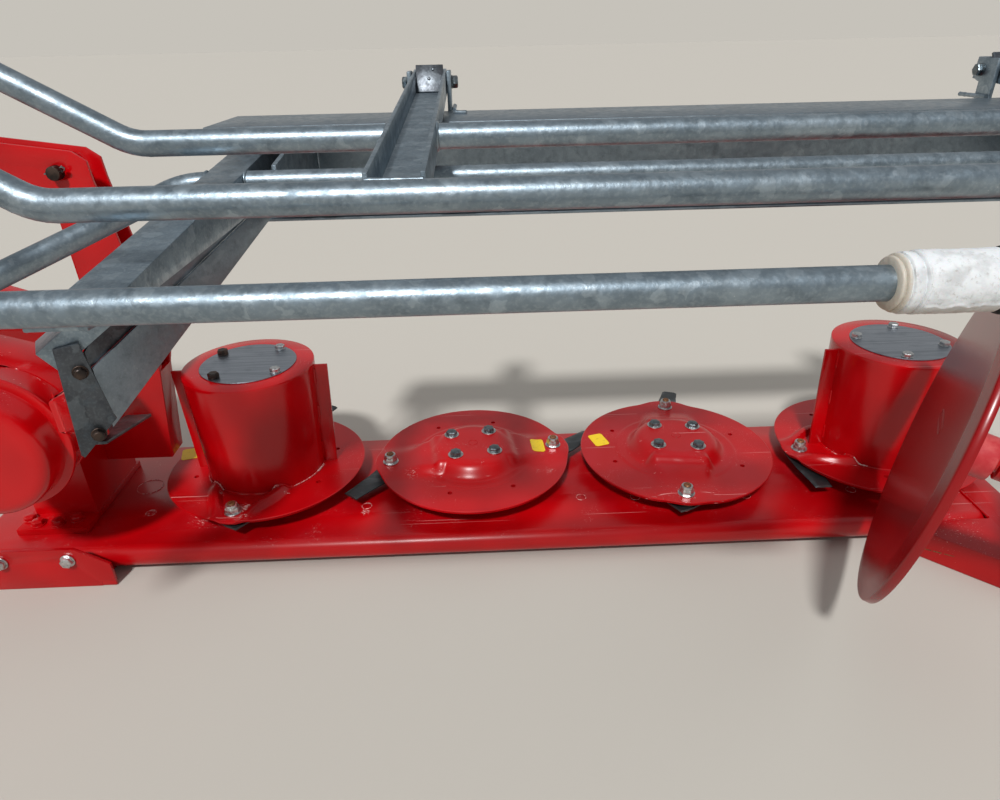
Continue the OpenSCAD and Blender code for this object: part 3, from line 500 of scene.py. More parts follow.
def pressedHeight(x, y, drum=False):
    # height over the flat plate at a point of the disc, the knife bolts' line along X
    r, along, across = math.hypot(x, y), abs(x), abs(y)
    values = pressing
    dome = (values["dome"] - 3) * (1 - crease(values["plateau"], values["domeFoot"], r))
    dome += 3 * (1 - crease(60, 74, r))
    skirt = 1.4 * (1 - crease(114, 118, r))
    if drum:
        # two ribs flank each knife bolt and close in on it
        middle = 58 - 32 * crease(95, 176, along)
        crown = values["rib"] * (1 - 0.75 * crease(120, 184, along)) if along > 60 else 0
        aside = abs(across - middle)
        ridge = crown * (1 - crease(5, 17 if across > middle else 12, aside))
        return max(ridge, 1.5 if across < middle and along > 60 and r < 186 else 0)
    if along < 88:
        crown = values["rampTop"] + (values["dome"] - 1.5 - values["rampTop"]) * (1 - crease(68, 86, along))
    else:
        crown = values["pad"] + (values["rampTop"] - values["pad"]) * (1 - crease(88, 136, along))
    topHalf = 46 - 22 * crease(66, 136, along)
    footHalf = topHalf + 24 + 14 * crease(80, 136, along)
    ridge = crown * (1 - crease(topHalf, footHalf, across)) if along > 40 else 0
    return max(dome + skirt, ridge)


def discPlate(name, row):
    values = pressing
    bpy.ops.object.select_all(action="DESELECT")
    bpy.ops.mesh.primitive_circle_add(vertices=values["steps"], radius=2 * mm)
    plate = bpy.context.active_object
    plate.name = name
    bpy.ops.object.mode_set(mode="EDIT")
    bpy.ops.mesh.select_all(action="SELECT")
    bpy.ops.mesh.edge_face_add()
    radius = 2
    rings = [6, 20, 36, 48, 56] + list(range(60, 184, 3)) + [183.6, 185]
    bpy.ops.mesh.select_all(action="SELECT")
    bpy.ops.mesh.region_to_loop()
    for nextRadius in rings:
        bpy.ops.mesh.extrude_edges_move(TRANSFORM_OT_translate={"value": (0, 0, 0)})
        size = nextRadius / radius
        bpy.ops.transform.resize(value=(size, size, 1), center_override=(0, 0, 0))
        radius = nextRadius
    bpy.ops.object.mode_set(mode="OBJECT")
    for vertex in plate.data.vertices:
        x, y = vertex.co.x / mm, vertex.co.y / mm
        r = math.hypot(x, y)
        if r > 160:  # the edge runs out to a blunt lobe by each knife
            tip = max(0, 1 - abs(math.atan2(abs(y), abs(x))) / 0.3)
            longer = values["lobe"] / values["radius"] - 1
            grow = 1 + longer * smoothStep(0, 1, tip) * smoothStep(160, 185, r)
            x, y = x * grow, y * grow
        rounding = smoothStep(183.5, 185, r)
        vertex.co = Vector((x, y, pressedHeight(x, y, row["drum"]) - rounding)) * mm
    pick(plate)
    thick = plate.modifiers.new("sheet", "SOLIDIFY")
    thick.thickness = values["thick"] * mm
    thick.offset = -1
    bpy.ops.object.modifier_apply(modifier=thick.name)
    for vertex in plate.data.vertices:
        if vertex.co.z < -values["thick"] * mm:
            vertex.co.z = -values["thick"] * mm
    for turn in values["holeTurns"]:
        cutHole(plate, values["holes"], turn, values["holeRadius"])
    smooth(plate, 30)
    return plate


def cutHole(plate, distance, turn, radius):
    angle = math.radians(turn)
    bpy.ops.object.select_all(action="DESELECT")
    bpy.ops.mesh.primitive_cylinder_add(vertices=20, radius=radius * mm, depth=60 * mm,
        location=(distance * mm * math.cos(angle), distance * mm * math.sin(angle), 0))
    drill = bpy.context.active_object
    pick(plate)
    hole = plate.modifiers.new("hole", "BOOLEAN")
    hole.object = drill
    hole.operation = "DIFFERENCE"
    hole.solver = "EXACT"
    bpy.ops.object.modifier_apply(modifier=hole.name)
    bpy.data.objects.remove(drill)


def discPlace(row):
    return Matrix.Translation(spot(row["x"] * discPitch, 0, discTop)) @ Matrix.Rotation(
        math.radians(row["line"]), 4, "Z")


def onDisc(row, radius, angle, lift=0):
    # a point on the pressed face, angle measured in the machine's plan
    turn = math.radians(angle)
    local = math.radians(angle - row["line"])
    height = pressedHeight(radius * math.cos(local), radius * math.sin(local), row["drum"])
    x, y = radius * math.cos(turn), radius * math.sin(turn)
    return spot(row["x"] * discPitch + x, y, discTop + height + lift)


# Fasteners, each modelled once and copied

def hexHead(name, across, height, washer, washerThick=2.5, finish=zinc):
    corner = across / math.sqrt(3)
    head = ringStack(name, [(corner * 0.97, 0), (corner, 0.4), (corner, height * 0.78),
        (corner * 0.9, height), (corner * 0.55, height + 0.3)], 6)
    head.data.transform(Matrix.Translation((0, 0, washerThick * mm)))
    crown = ringStack("crown", [(across * 0.47, washerThick + height * 0.8),
        (across * 0.47, washerThick + height * 0.97), (across * 0.4, washerThick + height + 0.5)], 24)
    disc = ringStack("washer", [(washer - 0.4, 0), (washer, 0.4), (washer, washerThick - 0.5),
        (washer - 0.6, washerThick), (washer * 0.6, washerThick + 0.05)], 32)
    bolt = joinAll([head, crown, disc], name)
    smooth(bolt, 30)
    bolt.data.materials.clear()
    bolt.data.materials.append(finish)
    return bolt


def nutAndStud(name):
    # knife bolt end: flanged lock nut with the stud's rusty end in its middle
    nut = hexHead(name, 22, 10, 15, 2.5)
    collar = ringStack("collar", [(10.8, 10), (10.8, 15), (9.8, 17.5), (8, 17.8)], 32)
    collar.data.materials.append(zinc)
    stud = ringStack("stud", [(6.8, 15), (6.8, 18), (6.5, 18.4), (6.8, 18.8), (6.5, 19.2), (5.4, 20.4)], 24)
    stud.data.materials.append(rustyStud)
    for part in (collar, stud):
        smooth(part, 30)
    return joinAll([nut, collar, stud], name)


boltM16 = hexHead("boltM16", 24, 9, 16)
boltM12 = hexHead("boltM12", 18, 7, 12)
boltM10 = hexHead("boltM10", 16, 6, 9.5, 2)
boltM8 = hexHead("boltM8", 13, 5.5, 8.5, 1.6)
boltDark = hexHead("boltDark", 17, 7, 9.5, 2, darkBolt)
domeBolt = hexHead("domeBolt", 19, 7, 14.5, 2, greyBolt)
foldBolt = hexHead("foldBolt", 15, 7, 9, 2, greyBolt)
bracketBolt = hexHead("bracketBolt", 13, 6, 8.5, 1.6, darkBolt)
# the dome bolts' heads are grey and their washers bright; the heads' darker grey is partly painted shade
domeBolt.data.materials.append(zinc)
for face in domeBolt.data.polygons:
    if math.hypot(face.center.x, face.center.y) > 11.4 * mm or face.center.z < 2.2 * mm:
        face.material_index = 1
knifeNut = nutAndStud("knifeNut")
print("fasteners modelled")


def weldRun(name, points, size=3.2, closed=False):
    # a stick weld's bead along the points, in its little overlapping ripples
    curve = bpy.data.curves.new(name, "CURVE")
    curve.dimensions = "3D"
    curve.bevel_depth = size * mm
    curve.bevel_resolution = 2
    curve.use_fill_caps = not closed
    line = curve.splines.new("POLY")
    line.points.add(len(points) - 1)
    for i, point in enumerate(points):
        line.points[i].co = (*point, 1)
        line.points[i].radius = 0.85 + 0.25 * abs(math.sin(i * 1.9)) + dice.uniform(-0.08, 0.08)
    line.use_cyclic_u = closed
    bead = bpy.data.objects.new(name, curve)
    bpy.context.scene.collection.objects.link(bead)
    pick(bead)
    bpy.ops.object.convert(target="MESH")
    bead = bpy.context.active_object
    smooth(bead, 60)
    return bead


def straightPoints(start, end, step=4):
    count = max(2, int((end - start).length / (step * mm)))
    return [start.lerp(end, i / count) for i in range(count + 1)]


def circlePoints(centre, axis, radius, step=4):
    count = max(12, int(2 * math.pi * radius / step))
    place = standAt(centre, axis)
    return [place @ Vector((radius * mm * math.cos(2 * math.pi * i / count),
        radius * mm * math.sin(2 * math.pi * i / count), 0)) for i in range(count)]


# Discs with their drums, covers, knives and bolts

def drumWithFins(row):
    x = row["x"] * discPitch
    values = {"foot": 108, "top": 115.8, "finWidth": 28, "finThick": 6}
    high = drumTop - discTop
    flare = values["top"] - values["foot"]
    rings = [(values["foot"] - 6, 1), (values["foot"], 1)]
    rings += [(values["foot"] + flare * t, 1 + (high - 3.5) * t) for t in (0.02, 0.25, 0.5, 0.75, 0.98)]
    rings += [(values["top"], high - 1.6), (values["top"] - 0.5, high - 0.5), (values["top"] - 1.7, high),
        (values["top"] - 30, high)]
    drum = ringStack("drum", rings, 128)
    drum.data.transform(Matrix.Translation(spot(x, 0, discTop)))
    parts = [drum]
    for side in (2, 182):
        bpy.ops.object.select_all(action="DESELECT")
        bpy.ops.mesh.primitive_cube_add(size=1, location=(0, 0, 0))
        fin = bpy.context.active_object
        fin.scale = Vector((values["finWidth"] + 12, values["finThick"], high - 8)) * mm
        settle(fin)
        bpy.ops.object.mode_set(mode="EDIT")
        bpy.ops.mesh.select_all(action="SELECT")
        bpy.ops.mesh.subdivide(number_cuts=3)
        bpy.ops.object.mode_set(mode="OBJECT")
        for vertex in fin.data.vertices:  # the free edge leans out with the drum's side
            share = vertex.co.z / ((high - 8) * mm) + 0.5
            vertex.co.x += flare * mm * (share - 1)
        roundEdges(fin, 0.9)
        out = values["top"] + values["finWidth"] - (values["finWidth"] + 12) / 2 - 4
        place = Matrix.Translation(spot(x, 0, discTop)) @ Matrix.Rotation(math.radians(side), 4, "Z")
        fin.data.transform(place @ Matrix.Translation((out * mm, 0, (high - 8) / 2 * mm)))
        parts.append(fin)
        for way in (-1, 1):
            low = place @ (Vector((values["foot"], way * 4, 16)) * mm)
            top = place @ (Vector((values["top"] - 0.6, way * 4, high - 14)) * mm)
            for start, end in ((0, 0.16), (0.42, 0.58), (0.84, 1)):
                points = straightPoints(low.lerp(top, start), low.lerp(top, end))
                parts.append(weldRun("finWeld", points, 2.4))
    foot = [onDisc(row, values["foot"] + 1, 360 * i / 200, 0.4) for i in range(200)]
    parts.append(weldRun("footWeld", foot, 2.2, True))
    return parts


def chippedWeld(row):
    # stretches of the drum's foot weld where the enamel has flaked off
    flakes = ((-52, -20, 0.9), (-22, -8, 1.7), (-74, -66, 1.6), (-136, -122, 1.3), (-158, -144, 1.0))
    runs = []
    for start, end, size in flakes:
        count = max(4, int((end - start) / 1.6))
        points = [onDisc(row, 110.4, start + (end - start) * i / count, 1.6) for i in range(count + 1)]
        runs.append(weldRun("chips", points, size))
    return runs


def knife(name, row, end):
    values = {"width": 44, "reach": 108, "thick": 4, "ground": 2.6, "height": 78}
    bpy.ops.object.select_all(action="DESELECT")
    bpy.ops.mesh.primitive_cube_add(size=1, location=(0, 0, 0))
    blade = bpy.context.active_object
    blade.scale = Vector((values["reach"] + 28, values["width"], values["thick"])) * mm
    settle(blade)
    blade.data.transform(Matrix.Translation(((values["reach"] - 28) / 2 * mm, 0, 0)))
    bpy.ops.object.mode_set(mode="EDIT")
    bpy.ops.mesh.select_all(action="SELECT")
    bpy.ops.mesh.subdivide(number_cuts=5)
    bpy.ops.object.mode_set(mode="OBJECT")
    for vertex in blade.data.vertices:
        x = vertex.co.x / mm
        taper = 1 - 0.27 * smoothStep(20, values["reach"], x) - 0.22 * smoothStep(-18, -28, x)
        if abs(vertex.co.y) > values["width"] * 0.49 * mm and vertex.co.z > 0 and x > 24:
            vertex.co.z -= values["ground"] * mm  # the ground cutting edge
        vertex.co.y *= taper
    roundEdges(blade, 0.35, 1, 28)
    smooth(blade, 25)
    at = math.radians(row["line"] + 180 * end)
    out = Vector((math.cos(at), math.sin(at), 0)) * pressing["boltCircle"] * mm
    pivot = spot(row["x"] * discPitch, 0, values["height"]) + out
    turn = Matrix.Rotation(math.radians(row["knives"][end]), 4, "Z")
    blade.data.transform(Matrix.Translation(pivot) @ turn)
    return blade


def labelPatch(name, row, radius, angle, width, length, turn):
    # a blank label that lies on the pressed face
    bpy.ops.object.select_all(action="DESELECT")
    bpy.ops.mesh.primitive_grid_add(x_subdivisions=14, y_subdivisions=18, size=1)
    patch = bpy.context.active_object
    patch.name = name
    patch.scale = (width * mm, length * mm, 1)
    settle(patch)
    spin = math.radians(turn)
    mid = (radius * math.cos(math.radians(angle)), radius * math.sin(math.radians(angle)))
    for vertex in patch.data.vertices:
        x, y = vertex.co.x / mm, vertex.co.y / mm
        cut = max(0, abs(x) - width / 2 + 3) * max(0, abs(y) - length / 2 + 3)
        x, y = x * (1 - 0.012 * cut), y * (1 - 0.012 * cut)
        px = mid[0] + x * math.cos(spin) - y * math.sin(spin)
        py = mid[1] + x * math.sin(spin) + y * math.cos(spin)
        vertex.co = onDisc(row, math.hypot(px, py), math.degrees(math.atan2(py, px)), 0.25)
    pick(patch)
    film = patch.modifiers.new("film", "SOLIDIFY")
    film.thickness = 0.35 * mm
    film.offset = 1
    bpy.ops.object.modifier_apply(modifier=film.name)
    return patch


def makeDisc(number, row):
    x = row["x"] * discPitch
    body = "disc_%d" % number
    plate = discPlate("plate_%d" % number, row)
    plate.data.transform(discPlace(row))
    parts = [plate]
    hub = ringStack("hub", [(51, -34), (52, -33), (52, -6.2)], 48)
    hub.data.transform(Matrix.Translation(spot(x, 0, discTop)))
    parts.append(hub)
    if row["drum"]:
        parts += drumWithFins(row)
    for part in parts:
        smooth(part, 30)
        part.data.materials.clear()
        part.data.materials.append(redWorn if part == plate else red)
    disc = joinAll(parts, "pressed_disc_%d" % number)
    dress(disc, body, None, [body])
    bolts = []
    for end in (0, 1):
        angle = row["line"] + 180 * end
        out = Vector((math.cos(math.radians(angle)), math.sin(math.radians(angle)), 0))
        out *= pressing["boltCircle"] * mm
        top = onDisc(row, pressing["boltCircle"], angle, -0.3)
        bolts.append(copyTo(knifeNut, standAt(top, (0, 0, 1), dice.uniform(0, 60))))
        bolts.append(copyTo(boltM16, standAt(spot(x, 0, 75.8) + out, (0, 0, -1))))
        spacer = ringStack("spacer", [(19.4, 80.2), (20, 80.6), (20, 86)], 32)
        spacer.data.transform(Matrix.Translation(spot(x, 0, 0) + out))
        spacer.data.materials.append(darkBolt)
        bolts.append(spacer)
    if row["drum"]:
        for k in range(4):
            angle = math.radians(row["cover"] + 90 * k)
            head = boltDark if number == 1 and math.cos(angle) < 0 else boltM10
            at = spot(x + 73 * math.cos(angle), 73 * math.sin(angle), drumTop + 2)
            bolts.append(copyTo(head, standAt(at, (0, 0, 1), dice.uniform(0, 60))))
    else:
        for k in range(4):
            at = onDisc(row, 52.9, row["line"] - 45 + 90 * k, -0.2)
            bolts.append(copyTo(domeBolt, standAt(at, (0, 0, 1), dice.uniform(0, 60))))
    dress(joinAll(bolts, "disc_bolts_%d" % number), body, None)
    blades = joinAll([knife("blade", row, end) for end in (0, 1)], "blades_%d" % number)
    dress(blades, body, knifeFinish, ["knives_%d" % number])
    if row["drum"]:
        dress(joinAll(chippedWeld(row), "weld_chips_%d" % number), body, chalk)
        sheet = ringStack("cover_sheet_%d" % number, [(84.2, 0.05), (84.6, 0.4), (84.6, 1.6), (84.2, 2)], 96)
        sheet.data.transform(Matrix.Translation(spot(x, 0, drumTop)))
        smooth(sheet, 40)
        dress(sheet, body, bareSheet, ["cover_%d" % number])
    else:
        ring = weldRun("ringMark", circlePoints(onDisc(row, 0.5, 0, 0.1), (0, 0, 1), 9), 0.5, True)
        dress(joinAll([ring], "centre_mark_%d" % number), body, red)


for number, row in enumerate(discRows, 1):
    makeDisc(number, row)
# labels: name, disc's row, then distance and turn from the disc's axis, width, length and own turn
labels = (("label_1", 0, (173, 166, 32, 42, 15)), ("label_2", 1, (130, 8, 26, 46, 3)),
    ("label_3", 2, (150, 165, 30, 44, 16)))
for name, index, values in labels:
    patch = labelPatch(name, discRows[index], *values)
    dress(patch, "disc_%d" % (index + 1), label)
print("discs made")


# Bar: plug rings, bolts and welds

def barDetails():
    values = {"plugs": [(-200, -97), (-106, -108), (200, -101), (302, -100), (601, -99), (702, -105),
        (908, -114), (1111, -108), (-100, 100), (300, 100), (500, 96), (700, 100), (900, 98), (1100, 100)],
        "shoeBolts": (-282, -393), "spindle": 62.5, "shoe": 3 * discPitch + 110, "tower": 81,
        "footBolts": [(-316, -125), (-345, -135), (-380, -135), (-402, -120), (-330, 66), (-390, 66)]}
    marks = []
    for x, y in values["plugs"]:
        around = circlePoints(spot(x, y, barTop + 0.1), (0, 0, 1), 9, 2)
        marks.append(weldRun("plugRing", around, 0.55, True))
    around = circlePoints(spot(-236, -11, barTop + 0.1), (0, 0, 1), 24, 3)
    marks.append(weldRun("bigRing", around, 0.6, True))
    dress(joinAll(marks, "plug_rings"), "cutter_bar", chalk)
    plugs = []
    for x, y in values["plugs"]:
        plug = ringStack("plug", [(8.3, barTop - 1), (8.3, barTop + 0.1), (7.4, barTop + 0.5),
            (3.4, barTop + 0.55), (3.2, barTop - 0.6)], 24)
        plug.data.transform(Matrix.Translation(spot(x, y, 0)))
        smooth(plug, 30)
        plugs.append(plug)
    dress(joinAll(plugs, "bar_plugs"), "cutter_bar", redWorn)
    bolts = []
    for x in values["shoeBolts"]:
        bolts.append(copyTo(boltM12, standAt(spot(x, -230.2, 58), (0, -1, 0), dice.uniform(0, 60))))
    dress(joinAll(bolts, "bar_bolts"), "cutter_bar", None)
    painted = []
    for x, y in values["footBolts"]:
        painted.append(copyTo(boltM12, standAt(spot(x, y, 64), (0, 0, 1), dice.uniform(0, 60))))
    dress(joinAll(painted, "foot_bolts"), "cutter_bar", red)
    seams = []
    for number in range(4):
        around = circlePoints(spot(number * discPitch, 0, barTop + 0.4), (0, 0, 1), values["spindle"], 5)
        seams.append(weldRun("spindleSeam", around, 1.4, True))
    across = straightPoints(spot(values["shoe"], -204, barTop), spot(values["shoe"], 136, barTop))
    seams.append(weldRun("shoeSeam", across, 2.4))
    around = circlePoints(spot(pulleyAt[0], -104, pulleyAt[1]), (0, 1, 0), values["tower"], 6)
    seams.append(weldRun("towerSeam", around, 2.2, True))
    dress(joinAll(seams, "bar_welds"), "cutter_bar", red)


barDetails()


def pulleyCover():
    x, z = pulleyAt
    rings = [(103, 0.4), (103, 40), (104.6, 42.4), (111, 45.4), (112.8, 48), (113, 51.5), (112, 53.5),
        (109.5, 54.4), (101, 55.5), (99.8, 58), (99.6, 80), (98.6, 91), (96.5, 96), (92, 100), (86, 102.2),
        (80, 103), (4, 103)]
    cover = ringStack("round_cover", rings, 128)
    cover.data.transform(Matrix.Translation(spot(x, -197, z)) @ Matrix.Rotation(math.radians(90), 4, "X"))
    tidyMesh(cover)
    smooth(cover, 40)
    dress(cover, "hitch", red, ["pulley_cover"])


pulleyCover()
print("bar details made")


# Swath disc: its own axis is local Z, pointing outboard and to the rear

def swathDisc():
    values = {"radius": 240, "band": 28, "slope": 4, "depth": 15, "turn": -33.7, "tilt": 9.5,
        "mid": (3 * discPitch - 173, -368, 328.5)}
    place = Matrix.Translation(spot(*values["mid"]))
    place = place @ Matrix.Rotation(math.radians(values["turn"]), 4, "Z")
    place = place @ Matrix.Rotation(math.radians(90 + values["tilt"]), 4, "Y")
    r, slope, depth = values["radius"], values["slope"], values["depth"]
    flat = r - values["band"]
    face = ringStack("face", [(2, 0), (80, 0), (flat - 30, 0), (flat - 2, 0), (flat, 0.1), (flat + 2, 0.4),
        (r - 6, slope - 0.5), (r - 3, slope), (r - 1, slope + 1), (r, slope + 2.6), (r, depth - 1),
        (r - 0.6, depth), (r - 3.4, depth), (r - 4, depth - 1), (r - 4, slope + 5), (r - 7, slope + 3.6),
        (flat, 4), (60, 4)], 192)
    hub = ringStack("hub", [(38, 3.8), (37, 5), (31, 40), (30, 76), (28.5, 79), (26, 80), (15.2, 80)], 64)
    # the faint outline of a plugged slot on the face
    slot = []
    for i in range(44):
        a = 2 * math.pi * i / 44
        up = 7 * math.sin(a) + math.copysign(22, math.sin(a))
        slot.append(Vector((7 * math.cos(a) - 40, up - 30, -0.1)) * mm)
    mark = weldRun("slotMark", slot, 0.45, True)
    for part in (face, hub, mark):
        part.data.transform(place)
        smooth(part, 35)
        part.data.materials.clear()
    # the face and its slot mark take the darker red, with its painted shade
    face.data.materials.append(redGlossShaded)
    mark.data.materials.append(redGlossShaded)
    hub.data.materials.append(palePinkRed)
    dress(joinAll([face, hub, mark], "swath_plate"), "swath", None, ["swath_disc"])
    cap = ringStack("tube_end", [(24, 246), (24.6, 246.3), (24.6, 251), (23, 252.6), (8, 253)], 48)
    cap.data.transform(place)
    smooth(cap, 35)
    dress(cap, "cutter_bar", red)


swathDisc()


# Wrapped end of the lower rear pipe

def wrappedSleeve():
    values = {"start": (702, -706, 666), "capStart": (779.3, -706, 666), "film": 21.9, "filmFrom": 18,
        "crumple": 0.5, "ridge": 1.0}
    # its rolled rim of three turns, the film itself, then the torn end
    rings = [(13.2, 0), (17.6, 0.2), (18.4, 0.8), (18.5, 2), (17.8, 2.6), (17.8, 3.2), (19.4, 3.6),
        (20.2, 4.4), (20.2, 5.8), (19.2, 6.6), (19.2, 7.2), (20.8, 7.6), (21.2, 8.4), (21.3, 10),
        (21.2, 13.4), (20.8, 14.4), (19.6, 14.8), (19.4, 15.8), (21.2, 16.2), (21.8, 17), (21.4, 17.6)]
    rings += [(values["film"], values["filmFrom"] + 1.2 * i) for i in range(47)]
    rings += [(20.6, 75.4), (19, 76.8), (13.2, 77)]
    sleeve = ringStack("wrap", rings, 144)
    for vertex in sleeve.data.vertices:
        p = vertex.co / mm
        r = math.hypot(p.x, p.y)
        if r < 17:
            continue
        grow = noise.noise(p / 7.0) * 0.25
        if p.z > values["filmFrom"]:
            # thin creases and one long torn fold along the lower third
            furrow = abs(noise.noise(p / 6.0 + Vector((7, 3, 1))))
            grow = noise.noise(p / 12.0) * values["crumple"] + (0.5 - min(0.5, furrow * 4)) * 0.5
            fold = abs(p.x - 11 - 3.2 * noise.noise(Vector((p.z / 9.0, 0, 0))))
            if p.y < 0:
                grow += values["ridge"] * max(0, 1 - fold / 1.6)
        vertex.co.x *= 1 + grow / r
        vertex.co.y *= 1 + grow / r
    alongX = Matrix.Rotation(math.radians(90), 4, "Y")
    sleeve.data.transform(Matrix.Translation(spot(*values["start"])) @ alongX)
    smooth(sleeve, 50)
    dress(sleeve, "cutter_bar", wrap, ["pipe_sleeve"])
    rings = [(13.2, 0), (21, 0), (23, 0.8), (23.6, 2.4)]
    rings += [(23.8, 4 + 2 * i) for i in range(17)]
    rings += [(23.4, 38.8), (22, 39.8), (4, 40)]
    cap = ringStack("foam_cap", rings, 96)
    for vertex in cap.data.vertices:
        dent = noise.noise(vertex.co / mm / 5.0) * 0.03
        vertex.co.x *= 1 + dent
        vertex.co.y *= 1 + dent
    cap.data.transform(Matrix.Translation(spot(*values["capStart"])) @ alongX)
    smooth(cap, 60)
    dress(cap, "cutter_bar", rubber, ["sleeve_cap"])


wrappedSleeve()
print("swath disc and sleeve made")


# Guard: welds, brackets' bolts, hinge bolts

def guardDetails():
    values = {"arms": (362, 3 * discPitch + 15), "posts": (185, 3 * discPitch + 92), "pipeA": (-413.4, 733),
        "pipeB": (-621.5, 716), "pipeRadius": 12.2, "endPlate": (39.6, 4, 41), "endLean": -32,
        "endPlace": (-48.6, 768.6)}
    backB, highB = values["pipeB"]
    moving, still, plates = [], [], []
    for x in values["arms"]:
        for side in (-1, 1):
            around = circlePoints(spot(x + side * 24.4, *values["pipeA"]), (1, 0, 0), values["pipeRadius"])
            moving.append(weldRun("pipeWeld", around, 2.6, True))
            edge = x + side * 22
            upright = straightPoints(spot(edge, backB + 12, highB - 9), spot(edge, backB + 12, highB + 9))
            moving.append(weldRun("pipeWeld", upright, 2.6))
        level = straightPoints(spot(x - 22, backB + 8, highB + 10.6), spot(x + 22, backB + 8, highB + 10.6))
        moving.append(weldRun("pipeWeld", level, 2.2))
        # the slanting plate that closes the channel towards its hinge, with two drops of zinc
        bpy.ops.object.select_all(action="DESELECT")
        bpy.ops.mesh.primitive_cube_add(size=1)
        plate = bpy.context.active_object
        plate.scale = Vector(values["endPlate"]) * mm
        settle(plate)
        roundEdges(plate, 0.8)
        lean = Matrix.Rotation(math.radians(values["endLean"]), 4, "X")
        plate.data.transform(Matrix.Translation(spot(x, *values["endPlace"])) @ lean)
        plates.append(plate)
        for aside, rise in ((-1, -1), (5, 13)):
            drop = ringStack("drop", [(2.6, -1), (2.4, 0.4), (1.2, 1.2)], 14)
            at = spot(x + aside, -50.3 + 0.53 * rise, 769.7 + 0.85 * rise)
            drop.data.transform(standAt(at, (0, -0.85, 0.53)))
            plates.append(drop)
    for side in (-1, 1):
        around = circlePoints(spot(armKnee[0] + side * 22.6, *armKnee[1:]), (1, 0, 0), values["pipeRadius"])
        still.append(weldRun("armWeld", around, 2.2, True))
    for x in values["posts"]:
        for edge in (x - 1, x + 7):
            upright = straightPoints(spot(edge, -76.4, 622), spot(edge, -76.4, 720))
            still.append(weldRun("postWeld", upright, 2.2))
    still.append(weldRun("beamWeld", straightPoints(spot(115, -77, 684), spot(158, -77, 684)), 2.6))
    for x in values["arms"]:
        for edge in (x - 34, x + 34):
            long = straightPoints(spot(edge, -70, 728.5), spot(edge, -10, 728.5))
            still.append(weldRun("lugWeld", long, 3))
            short = straightPoints(spot(edge, -112, 728), spot(edge + 18, -118, 728))
            still.append(weldRun("lugWeld", short, 3.4))
    for part in plates:
        smooth(part, 30)
    # the end plates take the dark zinc, which is painted shade
    dress(joinAll(plates, "fold_end_plates"), "front_guard", shadedZinc)
    dress(joinAll(moving, "fold_welds"), "front_guard", zincCoat)
    dress(joinAll(still, "guard_welds"), "cutter_bar", zincCoat)
    bolts = []
    for x in values["arms"]:
        for side in (-1, 1):
            at = spot(x + side * 31.2, -40, 763.5)
            bolts.append(copyTo(foldBolt, standAt(at, (side, 0, 0), dice.uniform(0, 60))))
    dress(joinAll(bolts, "fold_bolts"), "cutter_bar", None)


guardDetails()


def sheetPiece(name, outline, thick, place):
    # a flat sheet of the outline, drawn in millimetres, with the place applied
    bpy.ops.object.select_all(action="DESELECT")
    bpy.ops.mesh.primitive_circle_add(vertices=len(outline), radius=mm)
    sheet = bpy.context.active_object
    sheet.name = name
    bpy.ops.object.mode_set(mode="EDIT")
    bpy.ops.mesh.select_all(action="SELECT")
    bpy.ops.mesh.edge_face_add()
    bpy.ops.object.mode_set(mode="OBJECT")
    for vertex, (across, up) in zip(sheet.data.vertices, outline):
        vertex.co = Vector((across, up, 0)) * mm
    pick(sheet)
    depth = sheet.modifiers.new("depth", "SOLIDIFY")
    depth.thickness = thick * mm
    depth.offset = 0
    bpy.ops.object.modifier_apply(modifier=depth.name)
    tidyMesh(sheet)
    roundEdges(sheet, 0.6)
    sheet.data.transform(place)
    smooth(sheet, 30)
    return sheet


def plateWeb():
    # the plate's upper strip, which closes the way up to the brace and the support arm
    values = {"foot": (-27.4, -415.8, 492), "turn": 62.8, "thick": 3.4, "back": 2.2,
        "low": [(0, -1), (0, 20), (16, 34), (112, 72), (112, 43.4)],
        "high": [(112.3, 43.5), (112.3, 72), (250, 126), (330, 150), (370, 152), (370, 146)]}
    upright = Matrix.Rotation(math.radians(90), 4, "X")
    place = Matrix.Translation(spot(*values["foot"])) @ Matrix.Rotation(math.radians(values["turn"]), 4, "Z")
    place = place @ upright @ Matrix.Translation((0, 0, -values["back"] * mm))
    low = sheetPiece("low_web", values["low"], values["thick"], place)
    high = sheetPiece("high_web", values["high"], values["thick"], place)
    # the low strip takes the dark zinc, which is painted shade; the high strip takes the plain sheet zinc
    dress(low, "cutter_bar", shadedZinc)
    dress(high, "cutter_bar", smoothZinc)
    # the corner between the inner shoe's side plate and its base plate
    outline = [(-240, 0.6), (-216.3, 0.6), (-216.3, 9.6), (-240, 9.6)]
    corner = sheetPiece("shoe_corner", outline, 5.6, Matrix.Translation(spot(0, -227, 0)) @ upright)
    dress(corner, "cutter_bar", red)


plateWeb()


def bracketBolts():
    # two dark bolts hold the arm's bracket, on the side away from the tractor
    # each bolt: how far along the brace, and its height
    values = {"bolts": ((30, 492), (28, 411)), "out": 26.3}
    low, knee = Vector((-72, -415, 0)), Vector(armKnee)
    turn = math.atan2(knee.y - low.y, knee.x - low.x)
    along = Vector((math.cos(turn), math.sin(turn), 0))
    out = Vector((math.sin(turn), -math.cos(turn), 0))
    bolts = []
    for at, height in values["bolts"]:
        point = low + along * at + out * values["out"] + Vector((0, 0, height))
        bolts.append(copyTo(bracketBolt, standAt(spot(*point), out, dice.uniform(0, 60))))
    dress(joinAll(bolts, "bracket_bolts"), "cutter_bar", None)


bracketBolts()


def shoeRust():
    # rust along the outer shoe's wall, in three runs
    values = {"from": (1178, -240.6, 19), "to": (1212, -273.8, 27),
        "runs": ((0.0, 0.3, 0.8), (0.36, 0.62, 1.0), (0.7, 1.0, 0.7))}
    first, last = spot(*values["from"]), spot(*values["to"])
    rusty = []
    for start, end, size in values["runs"]:
        points = straightPoints(first.lerp(last, start), first.lerp(last, end), 1.5)
        rusty.append(weldRun("edgeRust", points, size))
    dress(joinAll(rusty, "shoe_rust"), "cutter_bar", rustyStud)


shoeRust()


